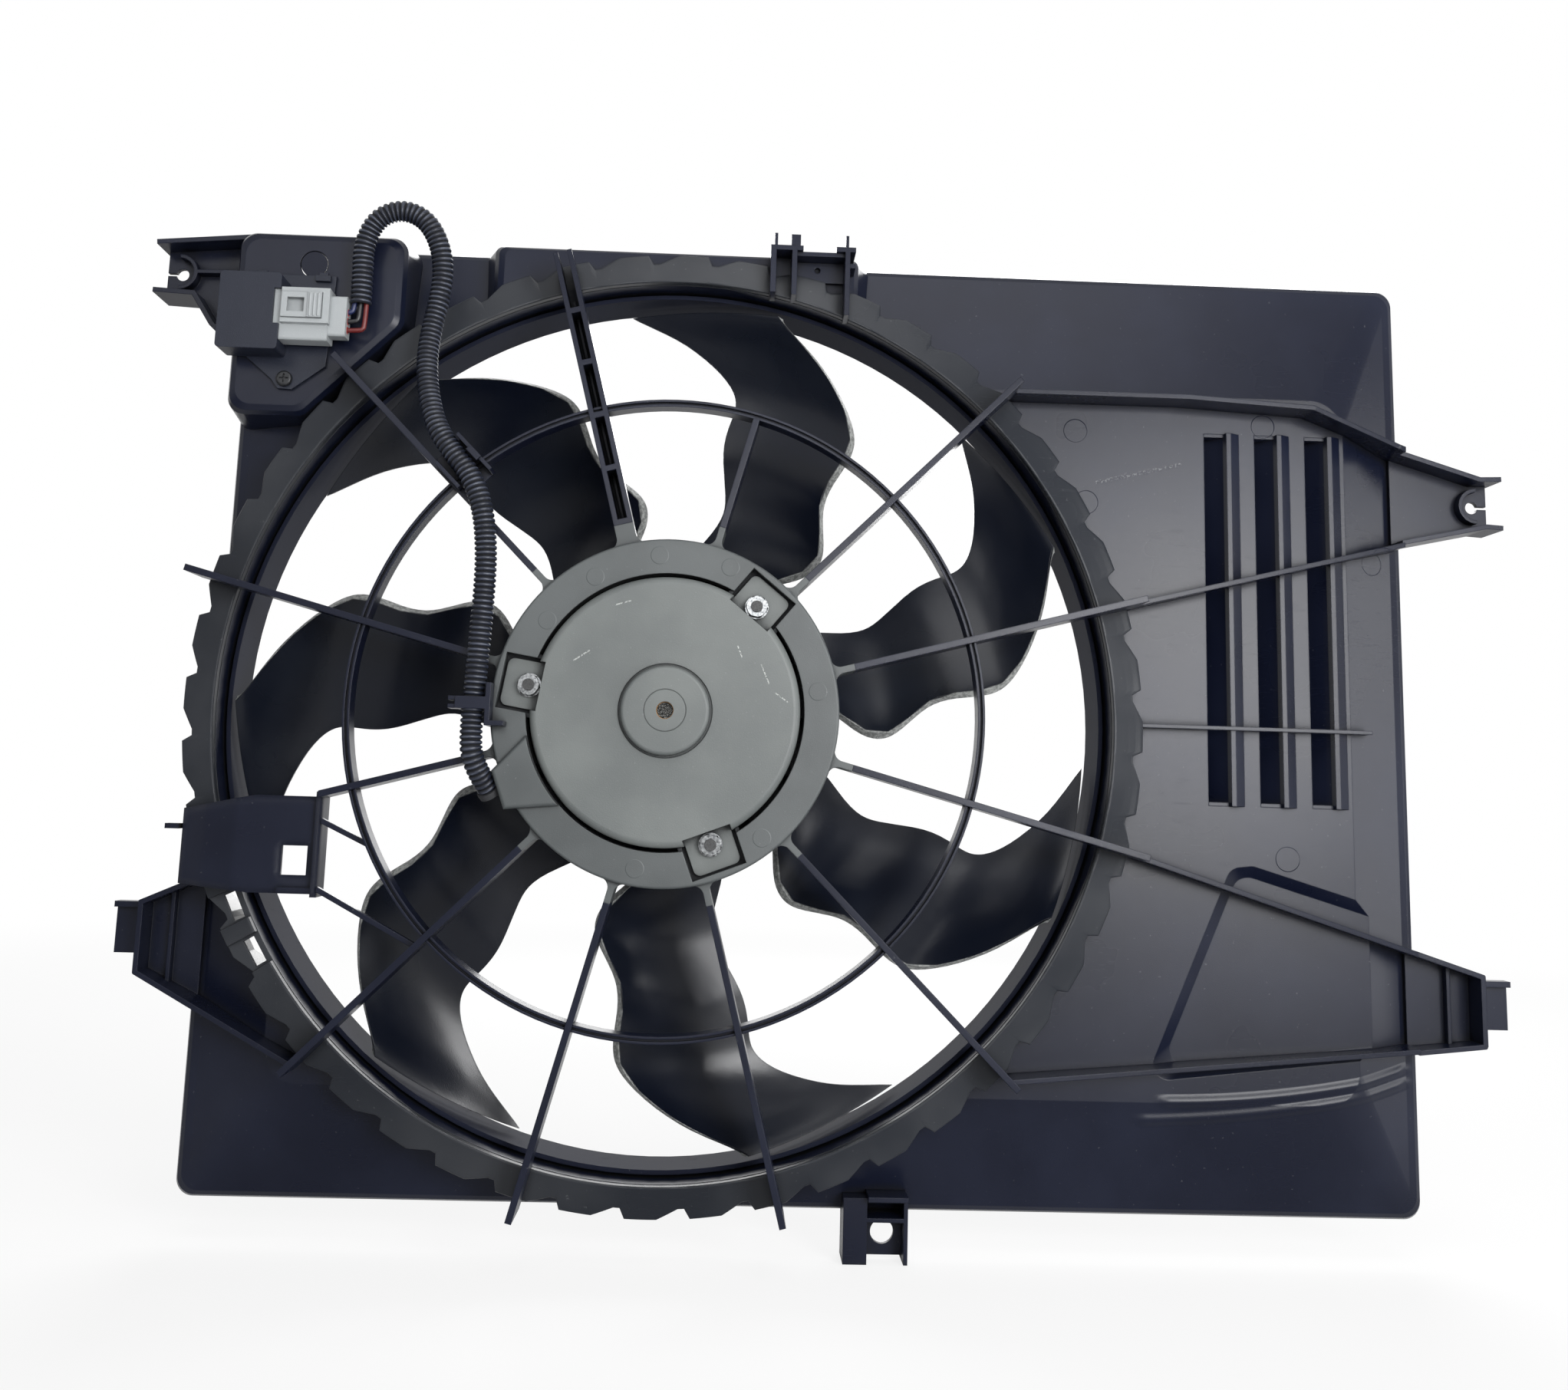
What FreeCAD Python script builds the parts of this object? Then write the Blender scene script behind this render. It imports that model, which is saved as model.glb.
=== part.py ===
import FreeCAD
import Part
import math
import os
from FreeCAD import Vector

# Radiator fan with its shroud, for a car's engine bay.
# Everything is drawn lying on its radiator face: x to the right, y up the car, z towards
# the engine, with the fan axis at x = y = 0. Each piece is stood up when it is written,
# so the finished part has +Z up and its engine side faces -Y.

# Fan ring with its saw-toothed ledge, which the shroud and the guard are sized from
BARREL_RADIUS = 230.0
BARREL_WALL = 2.3
GROOVE_RADIUS = BARREL_RADIUS + 4.0
LEDGE_WALL = 2.2
TOOTH_COUNT = 48
TOOTH_ROOT_RADIUS = GROOVE_RADIUS + 11.4
TOOTH_TOP_RADIUS = TOOTH_ROOT_RADIUS + 5.1
TOOTH_ROOT_SHARE = 0.05
TOOTH_RAMP_SHARE = 0.13
TOOTH_LAND_SHARE = 0.62

# Shroud outline, measured from the fan axis
BODY_LEFT = TOOTH_ROOT_RADIUS - 0.9
BODY_RIGHT = TOOTH_TOP_RADIUS + 155.0
BODY_LOW = TOOTH_TOP_RADIUS + 1.0
BODY_HIGH = TOOTH_TOP_RADIUS + 6.5
BODY_CORNER = 9.0
WALL = 2.5
RIM_DRAFT = 1.2

# Heights above the radiator face
RIM_HEIGHT = 11.0
EDGE_HEIGHT = 17.5
PANEL_HEIGHT = 30.0
SEAT_HEIGHT = 14.0
LEDGE_HEIGHT = 44.2
LIP_HEIGHT = 31.6
FAIRING_HEIGHT = 43.3
POCKET_HEIGHT = 50.0
ARM_TOP_INNER = 80.0
ARM_TOP_OUTER = 75.0
CARRIER_HEIGHT = 84.4
COVER_HEIGHT = 88.8
BOSS_HEIGHT = 93.1

# Level middle of the hipped panel
FLAT_LEFT = 200.0
FLAT_RIGHT = 368.0
FLAT_LOW = 192.0
FLAT_HIGH = 186.0
FLAT_CORNER = 18.0

# Guard arms between ring and motor
ARM_COUNT = 12
ARM_FIRST_ANGLE = 15.0
ARM_WIDTH = 3.3
ARM_END_RADIUS = TOOTH_TOP_RADIUS + 4.5
ARM_ROOT_RADIUS = 98.0
ARM_UNDERSIDE_INNER = 56.0
ARM_UNDERSIDE_OUTER = 51.0
SHORT_ARM = 2
LADDER_ARM = 3
STRAP_ARM = 6
LADDER_RAIL = 2.6
LADDER_WIDTH = 10.0
LADDER_BRIDGE = 3.0
LADDER_BRIDGE_STEP = 29.0
MID_RING_RADIUS = 160.0
MID_RING_WIDTH = 3.7
MID_RING_TOP = 76.0
MID_RING_DEPTH = 11.0

# Motor carrier
CARRIER_RADIUS = 87.1
CARRIER_BORE = 69.5
CARRIER_WALL = 2.6
CARRIER_PLATE = 3.0
CARRIER_BOTTOM = 57.0
ARM_FLARE = 5.0
PAD_TOP = 77.0
PAD_THICKNESS = 4.0
POCKET_WIDTH = 28.0
POCKET_OUTER = 83.6

# Motor
EAR_COUNT = 3
EAR_ANGLE = 50.8
EAR_WIDTH = 24.0
EAR_THICKNESS = 3.0
EAR_INNER = 63.0
EAR_OUTER = 82.4
EAR_CORNER = 3.5
NUT_RADIUS_POS = 69.6
STUD_RADIUS = 2.95
STUD_FIT = 0.1
STUD_LENGTH = 13.0
NUT_ACROSS = 10.0
NUT_HEIGHT = 5.0
YOKE_RADIUS = 62.0
YOKE_WALL = 3.0
YOKE_BOTTOM = 49.0
YOKE_FLANGE = 67.0
YOKE_CLEARANCE = 0.6
COVER_RADIUS = 67.3
COVER_WALL = 2.5
COVER_ROUND = 3.5
BOSS_RADIUS = 22.1
BOSS_ROOF = 1.8
BOSS_MARK = 10.4
SHAFT_END_GAP = 0.4
DIMPLE_RADIUS = 4.3
SHAFT_RADIUS = 4.0
SHAFT_FIT = 0.03
BUSH_RADIUS = 7.5
BUSH_LENGTH = 9.0
FRONT_HOUSING_RADIUS = 11.0
FRONT_HOUSING_DEPTH = 7.0
MAGNET_COUNT = 4
MAGNET_THICKNESS = 6.0
MAGNET_ANGLE = 70.0
AIR_GAP = 0.8
CORE_LENGTH = 14.0
CORE_SLOTS = 16
SLOT_WIDTH = 3.4
CORE_HUB_RADIUS = 20.0
COIL_CROWN = 4.5
COMMUTATOR_RADIUS = 15.0
COMMUTATOR_LENGTH = 7.5
BRUSH_COUNT = 4
BRUSH_WIDTH = 6.0
BRUSH_LENGTH = 13.0
BRUSH_GAP = 0.3
BRUSH_HEIGHT = 5.0
BOX_WALL = 1.0

# Impeller
BLADE_COUNT = 7
TIP_CLEARANCE = 3.5
BLADE_TIP_RADIUS = BARREL_RADIUS - TIP_CLEARANCE
BLADE_THICKNESS = 2.6
BLADE_LIP = 3.2
BLADE_LOW = 8.0
BLADE_HIGH = 38.0
BLADE_ROOT_RISE = 5.0
BLADE_CAMBER = 3.0
HUB_RADIUS = 79.5
HUB_WALL = 3.0
HUB_FLOOR = 5.0
HUB_TOP = 46.0
HUB_BOSS_RADIUS = 14.0
HUB_BOSS_TOP = 36.0
HUB_RIBS = 14
HUB_INSERT_RADIUS = 8.5
HUB_NUT_ACROSS = 17.0
HUB_NUT_HEIGHT = 4.0
HUB_WASHER = 1.6

# Louvres in the right panel
LOUVRE_COUNT = 3
LOUVRE_FIRST = 289.8
LOUVRE_PITCH = 28.2
LOUVRE_MOUTH = 11.5
LOUVRE_WIDTH = 19.5
LOUVRE_LOW = -39.0
LOUVRE_HIGH = 165.0
LOUVRE_RISE = 3.6
LOUVRE_DROP = 15.0
LOUVRE_VANE = 2.0

# Ribs and mounting tabs
RIB_WIDTH = 2.6
RIB_TOP = 50.0
RIB_LOW_TOP = 35.0
TAB_SEAT = 8.0
TAB_PLATE = 3.0
TAB_WALL_TOP = 36.0
TAB_WALL_LOW = 10.0
KEYHOLE_RADIUS = 3.4
KEYHOLE_SLIT = 1.6
COLLAR_RADIUS = 10.0
COLLAR_WALL = 2.0
COLLAR_TOP = 27.0
HOOK_WALL = 3.0
LOWER_HOLE_RADIUS = 6.0

# Speed module, socket and plug
PLATE_THICKNESS = 2.0
SOCKET_LOW = (-243.0, 183.0)
SOCKET_HIGH = (-211.0, 224.5)
SOCKET_TOP = 69.5
SOCKET_WALL = 2.2
PLUG_GAP = 0.3
PLUG_REAR = -177.0
PLUG_HEIGHT = 12.5
SCREW_RADIUS = 2.0
SCREW_HEAD_RADIUS = 4.2
WIRE_RADIUS = 1.3
LATCH_GAP = 0.3

# Lead
CONDUIT_RADIUS = 5.6
CLIP_GAP = 0.5

# Tab plates lie on the panel's rounded edge
TAB_BASE = EDGE_HEIGHT


def polar(radius, degrees, z=0.0):
    a = math.radians(degrees)
    return Vector(radius * math.cos(a), radius * math.sin(a), z)


def turned(shape, degrees):
    """The shape turned about the fan axis."""
    copy = shape.copy()
    copy.rotate(Vector(0, 0, 0), Vector(0, 0, 1), degrees)
    return copy


def disc(radius, low, high, x=0.0, y=0.0):
    return Part.makeCylinder(radius, high - low, Vector(x, y, low))


def tube(outer, inner, low, high, x=0.0, y=0.0):
    return disc(outer, low, high, x, y).cut(disc(inner, low, high, x, y))


def block(x0, x1, y0, y1, z0, z1):
    return Part.makeBox(x1 - x0, y1 - y0, z1 - z0, Vector(x0, y0, z0))


def prism(points, low, high):
    """A straight-sided solid over a plan outline of (x, y) points."""
    ring = [Vector(x, y, low) for x, y in points]
    face = Part.Face(Part.makePolygon(ring + ring[:1]))
    return face.extrude(Vector(0, 0, high - low))


def strip(start, end, width, low, high):
    """A straight wall in plan, from one (x, y) point to another."""
    dx, dy = end[0] - start[0], end[1] - start[1]
    length = math.hypot(dx, dy)
    nx, ny = -dy / length * width / 2, dx / length * width / 2
    corners = [
        (start[0] + nx, start[1] + ny),
        (start[0] - nx, start[1] - ny),
        (end[0] - nx, end[1] - ny),
        (end[0] + nx, end[1] + ny),
    ]
    return prism(corners, low, high)


def sloped_strip(start, end, width, low, high_start, high_end):
    """A wall whose top edge falls or rises evenly from start to end."""
    dx, dy = end[0] - start[0], end[1] - start[1]
    length = math.hypot(dx, dy)
    ux, uy = dx / length, dy / length
    nx, ny = -uy * width / 2, ux * width / 2
    ring = [
        Vector(start[0] - nx, start[1] - ny, low),
        Vector(end[0] - nx, end[1] - ny, low),
        Vector(end[0] - nx, end[1] - ny, high_end),
        Vector(start[0] - nx, start[1] - ny, high_start),
    ]
    face = Part.Face(Part.makePolygon(ring + ring[:1]))
    return face.extrude(Vector(2 * nx, 2 * ny, 0))


def fused(shapes):
    """One solid from shapes that overlap or touch."""
    whole = shapes[0].fuse(shapes[1:]) if len(shapes) > 1 else shapes[0]
    return whole.removeSplitter()


def inset(points, distance):
    """The outline of a plan drawn anticlockwise, moved inwards by a distance."""
    count = len(points)
    moved = []
    for i in range(count):
        a, b, c = points[i - 1], points[i], points[(i + 1) % count]
        u = Vector(b[0] - a[0], b[1] - a[1], 0).normalize()
        v = Vector(c[0] - b[0], c[1] - b[1], 0).normalize()
        nu, nv = Vector(-u.y, u.x, 0), Vector(-v.y, v.x, 0)
        scale = distance / (1 + nu.dot(nv))
        moved.append((b[0] + (nu.x + nv.x) * scale, b[1] + (nu.y + nv.y) * scale))
    return moved


def rounded(points, radius, z):
    """A closed wire over a plan outline, with an arc at every corner."""
    count = len(points)
    edges = []
    ends = []
    for i in range(count):
        a, b, c = points[i - 1], points[i], points[(i + 1) % count]
        u = Vector(a[0] - b[0], a[1] - b[1], 0).normalize()
        v = Vector(c[0] - b[0], c[1] - b[1], 0).normalize()
        half = u.getAngle(v) / 2
        reach = radius / math.tan(half)
        corner = Vector(b[0], b[1], z)
        way = (u + v).normalize()
        middle = corner + way * (radius / math.sin(half) - radius)
        ends.append((corner + u * reach, middle, corner + v * reach))
    for i in range(count):
        edges.append(Part.makeLine(ends[i - 1][2], ends[i][0]))
        edges.append(Part.Arc(*ends[i]).toShape())
    return Part.Wire(edges)


def lofted(wires):
    return Part.makeLoft(wires, True, True)


def rectangle(left, right, low, high):
    return [(left, low), (right, low), (right, high), (left, high)]


# Shroud panel

# Places on the panel and tabs, in plan
POCKET_OUTLINE = [
    (-BODY_LEFT, 150.0),
    (-200.0, 150.0),
    (-148.0, 203.0),
    (-148.0, BODY_HIGH),
    (-BODY_LEFT, BODY_HIGH),
]
FAIRING_LEFT = -116.0
FAIRING_RIGHT = 106.0
DISH_OUTLINE = [
    (254.0, -182.0),
    (BODY_RIGHT + 6.0, -164.0),
    (BODY_RIGHT + 6.0, -99.0),
    (313.0, -70.0),
    (301.0, -71.5),
]
DISH_DEPTH = 3.5
DISH_SIDE = 6.0
DISH_CORNER = 8.0


def hip_form(grow, drop):
    """The panel's main form: an upright rim, a rounded edge and a hip up to a level middle."""
    outline = rectangle(-BODY_LEFT, BODY_RIGHT, -BODY_LOW, BODY_HIGH)
    flat = rectangle(-FLAT_LEFT, FLAT_RIGHT, -FLAT_LOW, FLAT_HIGH)
    edge_rise = EDGE_HEIGHT - RIM_HEIGHT
    levels = [
        (0.0 if drop == 0 else -1.0, -RIM_DRAFT),
        (RIM_HEIGHT - drop, 0.0),
        (RIM_HEIGHT + 0.6 * edge_rise - drop, 1.6),
        (RIM_HEIGHT + 0.88 * edge_rise - drop, 4.0),
        (EDGE_HEIGHT - drop, 8.0),
    ]
    wires = [rounded(inset(outline, back + grow), BODY_CORNER, z) for z, back in levels]
    wires.append(rounded(inset(flat, grow * 0.2), FLAT_CORNER, PANEL_HEIGHT - drop))
    return lofted(wires)


def fairing_form(grow, drop):
    """The raised strip over the top of the fan ring, flush with the ledge."""
    levels = [
        (0.0 if drop == 0 else -1.0, 0.0, 0.0),
        (RIM_HEIGHT - drop, 2.0, 0.0),
        (FAIRING_HEIGHT - 5.0 - drop, 11.0, 3.0),
        (FAIRING_HEIGHT - 1.5 - drop, 13.5, 4.2),
        (FAIRING_HEIGHT - drop, 17.0, 5.6),
    ]
    wires = []
    for z, side, back in levels:
        left = FAIRING_LEFT + side + grow
        right = FAIRING_RIGHT - side - grow
        plan = rectangle(left, right, TOOTH_ROOT_RADIUS * 0.72, BODY_HIGH - back - grow)
        wires.append(rounded(plan, 4.0, z))
    return lofted(wires)


def pocket_form(grow, drop):
    """The raised module pocket at the upper left."""
    levels = [
        (0.0 if drop == 0 else -1.0, 0.0),
        (RIM_HEIGHT - drop, 0.0),
        (POCKET_HEIGHT - 5.0 - drop, 3.0),
        (POCKET_HEIGHT - 1.5 - drop, 4.6),
        (POCKET_HEIGHT - drop, 7.5),
    ]
    wires = [rounded(inset(POCKET_OUTLINE, back + grow), BODY_CORNER, z) for z, back in levels]
    return lofted(wires)


def dish_form(grow, drop):
    """The shallow dished field in the lower right of the panel, with sloping sides."""
    floor = PANEL_HEIGHT - DISH_DEPTH - drop
    top = PANEL_HEIGHT + 4.0 - drop
    side = DISH_SIDE * (top - floor) / DISH_DEPTH
    low = rounded(inset(DISH_OUTLINE, DISH_SIDE - grow), DISH_CORNER, floor)
    high = rounded(inset(DISH_OUTLINE, DISH_SIDE - side - grow), DISH_CORNER, top)
    return lofted([low, high])


def panel_form(grow, drop):
    form = hip_form(grow, drop).cut(dish_form(grow, drop))
    return form.fuse([fairing_form(grow, drop), pocket_form(grow, drop)])


def tooth_outline(shrink):
    """Plan of the saw-toothed ledge: land, ramp, root and a steep step, repeated."""
    pitch = 360.0 / TOOTH_COUNT
    top, root = TOOTH_TOP_RADIUS - shrink, TOOTH_ROOT_RADIUS - shrink
    points = []
    for i in range(TOOTH_COUNT):
        notch = pitch * (i + 0.5)
        steps = ((root, -TOOTH_ROOT_SHARE), (root, TOOTH_ROOT_SHARE), (top, TOOTH_RAMP_SHARE),
                 (top, TOOTH_LAND_SHARE))
        for radius, share in steps:
            spot = polar(radius, notch + share * pitch)
            points.append((spot.x, spot.y))
    return points


def louvre_left(index):
    return LOUVRE_FIRST + index * LOUVRE_PITCH


def shroud_panel():
    shell = panel_form(0.0, 0.0).cut(panel_form(WALL, WALL))
    top = POCKET_HEIGHT + 1.0
    cutters = [prism(tooth_outline(0.0), SEAT_HEIGHT, top)]
    for i in range(LOUVRE_COUNT):
        left = louvre_left(i)
        cutters.append(block(left, left + LOUVRE_WIDTH, LOUVRE_LOW, LOUVRE_HIGH, 5.0, top))
    screw = disc(SCREW_RADIUS + 0.1, POCKET_HEIGHT - WALL - 1, top, *MODULE_SCREW)
    cutters.append(screw)
    cutters.append(disc(RESISTOR_RADIUS + 0.5, POCKET_HEIGHT - WALL - 1, top, *RESISTOR_AT))
    return shell.cut(cutters)


def fan_ring():
    """Barrel, groove and saw-toothed ledge, one hollow section all the way round."""
    outer = prism(tooth_outline(0.0), SEAT_HEIGHT, LEDGE_HEIGHT)
    hollow = prism(tooth_outline(LEDGE_WALL), SEAT_HEIGHT, LEDGE_HEIGHT - LEDGE_WALL)
    inner_wall = GROOVE_RADIUS + LEDGE_WALL
    skirt = tube(inner_wall, GROOVE_RADIUS, SEAT_HEIGHT, LEDGE_HEIGHT)
    floor = tube(inner_wall, BARREL_RADIUS, SEAT_HEIGHT, SEAT_HEIGHT + LEDGE_WALL)
    barrel = tube(BARREL_RADIUS + BARREL_WALL, BARREL_RADIUS, 0.0, LIP_HEIGHT)
    ledge = outer.cut(hollow).cut(disc(GROOVE_RADIUS, SEAT_HEIGHT, LEDGE_HEIGHT))
    windows = []
    for angle in WINDOW_ANGLES:
        slot = block(inner_wall + 0.6, TOOTH_ROOT_RADIUS - LEDGE_WALL - 0.6, -7.0, 7.0,
                     LEDGE_HEIGHT - LEDGE_WALL - 1, LEDGE_HEIGHT + 1)
        windows.append(turned(slot, angle))
    return fused([ledge, skirt, floor, barrel]).cut(windows)


WINDOW_ANGLES = (199.5, 205.5, 211.5)


# Louvres, ribs and tabs

def louvre_vanes():
    """Three hooded vanes: each leans back under its own mouth, so rain and sight are stopped."""
    vanes = []
    for i in range(LOUVRE_COUNT):
        left = louvre_left(i)
        lip = left + LOUVRE_MOUTH
        right = left + LOUVRE_WIDTH
        under = PANEL_HEIGHT - WALL
        profile = [
            (lip, PANEL_HEIGHT + LOUVRE_RISE),
            (lip + 2.6, PANEL_HEIGHT + LOUVRE_RISE),
            (right, PANEL_HEIGHT),
            (right, under),
            (lip + LOUVRE_VANE, under),
            (left + LOUVRE_VANE - 0.5, PANEL_HEIGHT - LOUVRE_DROP),
            (left - 0.5, PANEL_HEIGHT - LOUVRE_DROP),
            (lip - 0.5, PANEL_HEIGHT - 1.0),
        ]
        ring = [Vector(x, LOUVRE_LOW, z) for x, z in profile]
        face = Part.Face(Part.makePolygon(ring + ring[:1]))
        vane = face.extrude(Vector(0, LOUVRE_HIGH - LOUVRE_LOW, 0))
        cheek = [
            (left, PANEL_HEIGHT),
            (left, PANEL_HEIGHT - LOUVRE_DROP),
            (left + LOUVRE_VANE, PANEL_HEIGHT - LOUVRE_DROP),
            (lip + LOUVRE_VANE, under),
            (lip + LOUVRE_VANE, PANEL_HEIGHT),
        ]
        cheeks = []
        for y in (LOUVRE_LOW, LOUVRE_HIGH - LOUVRE_VANE):
            ring = [Vector(x, y, z) for x, z in cheek]
            face = Part.Face(Part.makePolygon(ring + ring[:1]))
            cheeks.append(face.extrude(Vector(0, LOUVRE_VANE, 0)))
        vanes.append(fused([vane] + cheeks))
    return vanes


def arm_end(index, back=0.0):
    spot = polar(ARM_END_RADIUS - back, ARM_FIRST_ANGLE + index * 360.0 / ARM_COUNT)
    return (spot.x, spot.y)


def seated(shape, others):
    """A wall stood on what lies under it: what the others fill is taken off."""
    return shape.cut(others)


def panel_ribs(form, ring, vanes, arms):
    """Tall walls on the right panel, from the ends of the guard arms to the tabs."""
    low = SEAT_HEIGHT
    upper = [arm_end(1), (276.0, 180.6), (345.0, 177.0), (393.4, 158.2), UPPER_RIGHT_NECK]
    ribs = []
    tops = [RIB_TOP, RIB_TOP, RIB_TOP, 45.0, TAB_WALL_TOP]
    pieces = []
    for a, b, za, zb in zip(upper, upper[1:], tops, tops[1:]):
        pieces.append(sloped_strip(a, b, RIB_WIDTH, low, za, zb))
    for spot, z in zip(upper[1:-1], tops[1:-1]):
        pieces.append(disc(RIB_WIDTH / 2, low, z, *spot))
    ribs.append(fused(pieces))
    ribs.append(sloped_strip(arm_end(0), LOWER_RIGHT_OF_TAB, RIB_WIDTH, low, RIB_TOP, TAB_WALL_TOP))
    ribs.append(strip((TOOTH_TOP_RADIUS + 0.3, 2.5), (378.0, 2.2), 2.0, low, RIB_LOW_TOP))
    ribs.append(sloped_strip(arm_end(11), LOWER_TAB_TOP, RIB_WIDTH, low, RIB_TOP, TAB_WALL_TOP))
    ribs.append(sloped_strip(arm_end(10), LOWER_TAB_LOW, RIB_WIDTH, low, RIB_TOP, TAB_WALL_TOP))
    keep_out = [form, ring] + vanes + arms
    clear_end = block(BODY_RIGHT - TAB_SEAT, BODY_RIGHT + 60, -BODY_LOW, BODY_HIGH, low, RIB_TOP)
    return [seated(rib, keep_out + [clear_end]) for rib in ribs]


UPPER_RIGHT_NECK = (442.3, 143.3)
LOWER_RIGHT_OF_TAB = (445.0, 116.9)
LOWER_TAB_TOP = (432.7, -124.0)
LOWER_TAB_LOW = (432.5, -159.4)
UPPER_RIGHT_HOLE = (443.7, 130.0)
UPPER_LEFT_HOLE = (-279.9, 236.5)


def inside_of_panel():
    """Everything further in than the strip of rounded edge that a tab is seated on."""
    return block(-BODY_LEFT + TAB_SEAT, BODY_RIGHT - TAB_SEAT, -BODY_LOW, BODY_HIGH, -1, 60)


def keyhole(spot, side):
    """The screw hole of a tab with the narrow slit that opens it to the outside."""
    hole = disc(KEYHOLE_RADIUS, 0.0, POCKET_HEIGHT, *spot)
    reach = spot[0] + side * 30.0
    slit = block(min(spot[0], reach), max(spot[0], reach), spot[1] - KEYHOLE_SLIT / 2,
                 spot[1] + KEYHOLE_SLIT / 2, 0.0, POCKET_HEIGHT)
    return hole.fuse(slit)


def collar(spot, side):
    """A raised half ring round the screw hole, open on the slit's side."""
    ring = tube(COLLAR_RADIUS, COLLAR_RADIUS - COLLAR_WALL, TAB_BASE, COLLAR_TOP, *spot)
    reach = spot[0] + side * 40.0
    half = block(min(spot[0], reach), max(spot[0], reach), spot[1] - 20, spot[1] + 20, 0, 60)
    return ring.cut(half)


def upper_right_tab(form):
    end = 452.0
    root = BODY_RIGHT - TAB_SEAT - 2.0
    edge_high = (root, 157.5)
    edge_low = (root, 106.0)
    outline = [edge_low, LOWER_RIGHT_OF_TAB, (end, 116.4), (end, 143.8), UPPER_RIGHT_NECK, edge_high]
    plate = prism(outline, TAB_BASE, TAB_BASE + TAB_PLATE)
    walls = [
        strip(edge_high, UPPER_RIGHT_NECK, RIB_WIDTH, TAB_WALL_LOW, TAB_WALL_TOP),
        strip(UPPER_RIGHT_NECK, (end + 2, 143.8), RIB_WIDTH, TAB_WALL_LOW, TAB_WALL_TOP),
        strip(edge_low, LOWER_RIGHT_OF_TAB, RIB_WIDTH, TAB_WALL_LOW, TAB_WALL_TOP),
        strip(LOWER_RIGHT_OF_TAB, (end + 2, 116.4), RIB_WIDTH, TAB_WALL_LOW, TAB_WALL_TOP),
        disc(RIB_WIDTH / 2, TAB_WALL_LOW, TAB_WALL_TOP, *UPPER_RIGHT_NECK),
        disc(RIB_WIDTH / 2, TAB_WALL_LOW, TAB_WALL_TOP, *LOWER_RIGHT_OF_TAB),
        collar(UPPER_RIGHT_HOLE, 1),
    ]
    whole = fused([plate] + walls).cut(keyhole(UPPER_RIGHT_HOLE, 1))
    return whole.cut([form, inside_of_panel()])


def upper_left_tab(form):
    end = -288.0
    root = -BODY_LEFT + TAB_SEAT + 2.0
    outline = [(end, 222.8), (-268.0, 222.0), (-257.0, 205.0), (root, 184.0),
               (root, BODY_HIGH - 2.0), (end, BODY_HIGH - 6.6)]
    plate = prism(outline, TAB_BASE, TAB_BASE + TAB_PLATE)
    walls = [
        strip((end - 2, BODY_HIGH - 6.8), (root, BODY_HIGH - 1.6), RIB_WIDTH, TAB_WALL_LOW, TAB_WALL_TOP),
        strip((end - 2, 223.0), (-268.0, 222.0), RIB_WIDTH, TAB_WALL_LOW, TAB_WALL_TOP),
        strip((-268.0, 222.0), (-257.0, 205.0), RIB_WIDTH, TAB_WALL_LOW, TAB_WALL_TOP),
        strip((-257.0, 205.0), (root, 184.0), RIB_WIDTH, TAB_WALL_LOW, TAB_WALL_TOP),
        disc(RIB_WIDTH / 2, TAB_WALL_LOW, TAB_WALL_TOP, -268.0, 222.0),
        disc(RIB_WIDTH / 2, TAB_WALL_LOW, TAB_WALL_TOP, -257.0, 205.0),
        strip((UPPER_LEFT_HOLE[0] + COLLAR_RADIUS - 1, 237.0), (root, 238.0), 2.0,
              TAB_BASE, COLLAR_TOP),
        collar(UPPER_LEFT_HOLE, -1),
    ]
    whole = fused([plate] + walls).cut(keyhole(UPPER_LEFT_HOLE, -1))
    return whole.cut([form, inside_of_panel()])


def hook(x0, x1, y0, y1):
    """A slide-in hook: a flat tongue with a turned-down lip at its outer end."""
    side = 1.0 if x1 > x0 else -1.0
    left, right = min(x0, x1), max(x0, x1)
    tongue = block(left, right, y0, y1, TAB_BASE, TAB_BASE + HOOK_WALL)
    lip_from = x1 - side * HOOK_WALL
    lip = block(min(lip_from, x1), max(lip_from, x1), y0, y1 - 4.0, TAB_BASE - 9.0, TAB_BASE + HOOK_WALL)
    bead = block(left, right, y1 - HOOK_WALL, y1, TAB_BASE, TAB_BASE + 8.0)
    return [tongue, lip, bead]


def lower_right_tab(form):
    end_x = LOWER_TAB_TOP[0]
    root = BODY_RIGHT - TAB_SEAT - 2.0
    high = (root, -112.2)
    low = (root, -163.4)
    plate = prism([low, LOWER_TAB_LOW, LOWER_TAB_TOP, high], TAB_BASE, TAB_BASE + TAB_PLATE)
    walls = [
        strip(high, LOWER_TAB_TOP, RIB_WIDTH, TAB_WALL_LOW, TAB_WALL_TOP),
        strip(low, LOWER_TAB_LOW, RIB_WIDTH, TAB_WALL_LOW, TAB_WALL_TOP),
        strip(LOWER_TAB_TOP, (end_x, LOWER_TAB_LOW[1]), RIB_WIDTH, TAB_WALL_LOW, TAB_WALL_TOP),
        disc(RIB_WIDTH / 2, TAB_WALL_LOW, TAB_WALL_TOP, *LOWER_TAB_TOP),
        disc(RIB_WIDTH / 2, TAB_WALL_LOW, TAB_WALL_TOP, *LOWER_TAB_LOW),
        strip((BODY_RIGHT + 13.0, -118.0), (BODY_RIGHT + 13.0, -160.0), 2.0, TAB_BASE, TAB_BASE + 8.0),
    ]
    whole = fused([plate] + walls + hook(end_x, end_x + 19.5, -152.7, -127.1))
    return whole.cut([form, inside_of_panel()])


LEFT_TAB_TOP = (-266.5, -103.0)
LEFT_TAB_LOW = (-266.5, -138.0)


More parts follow.
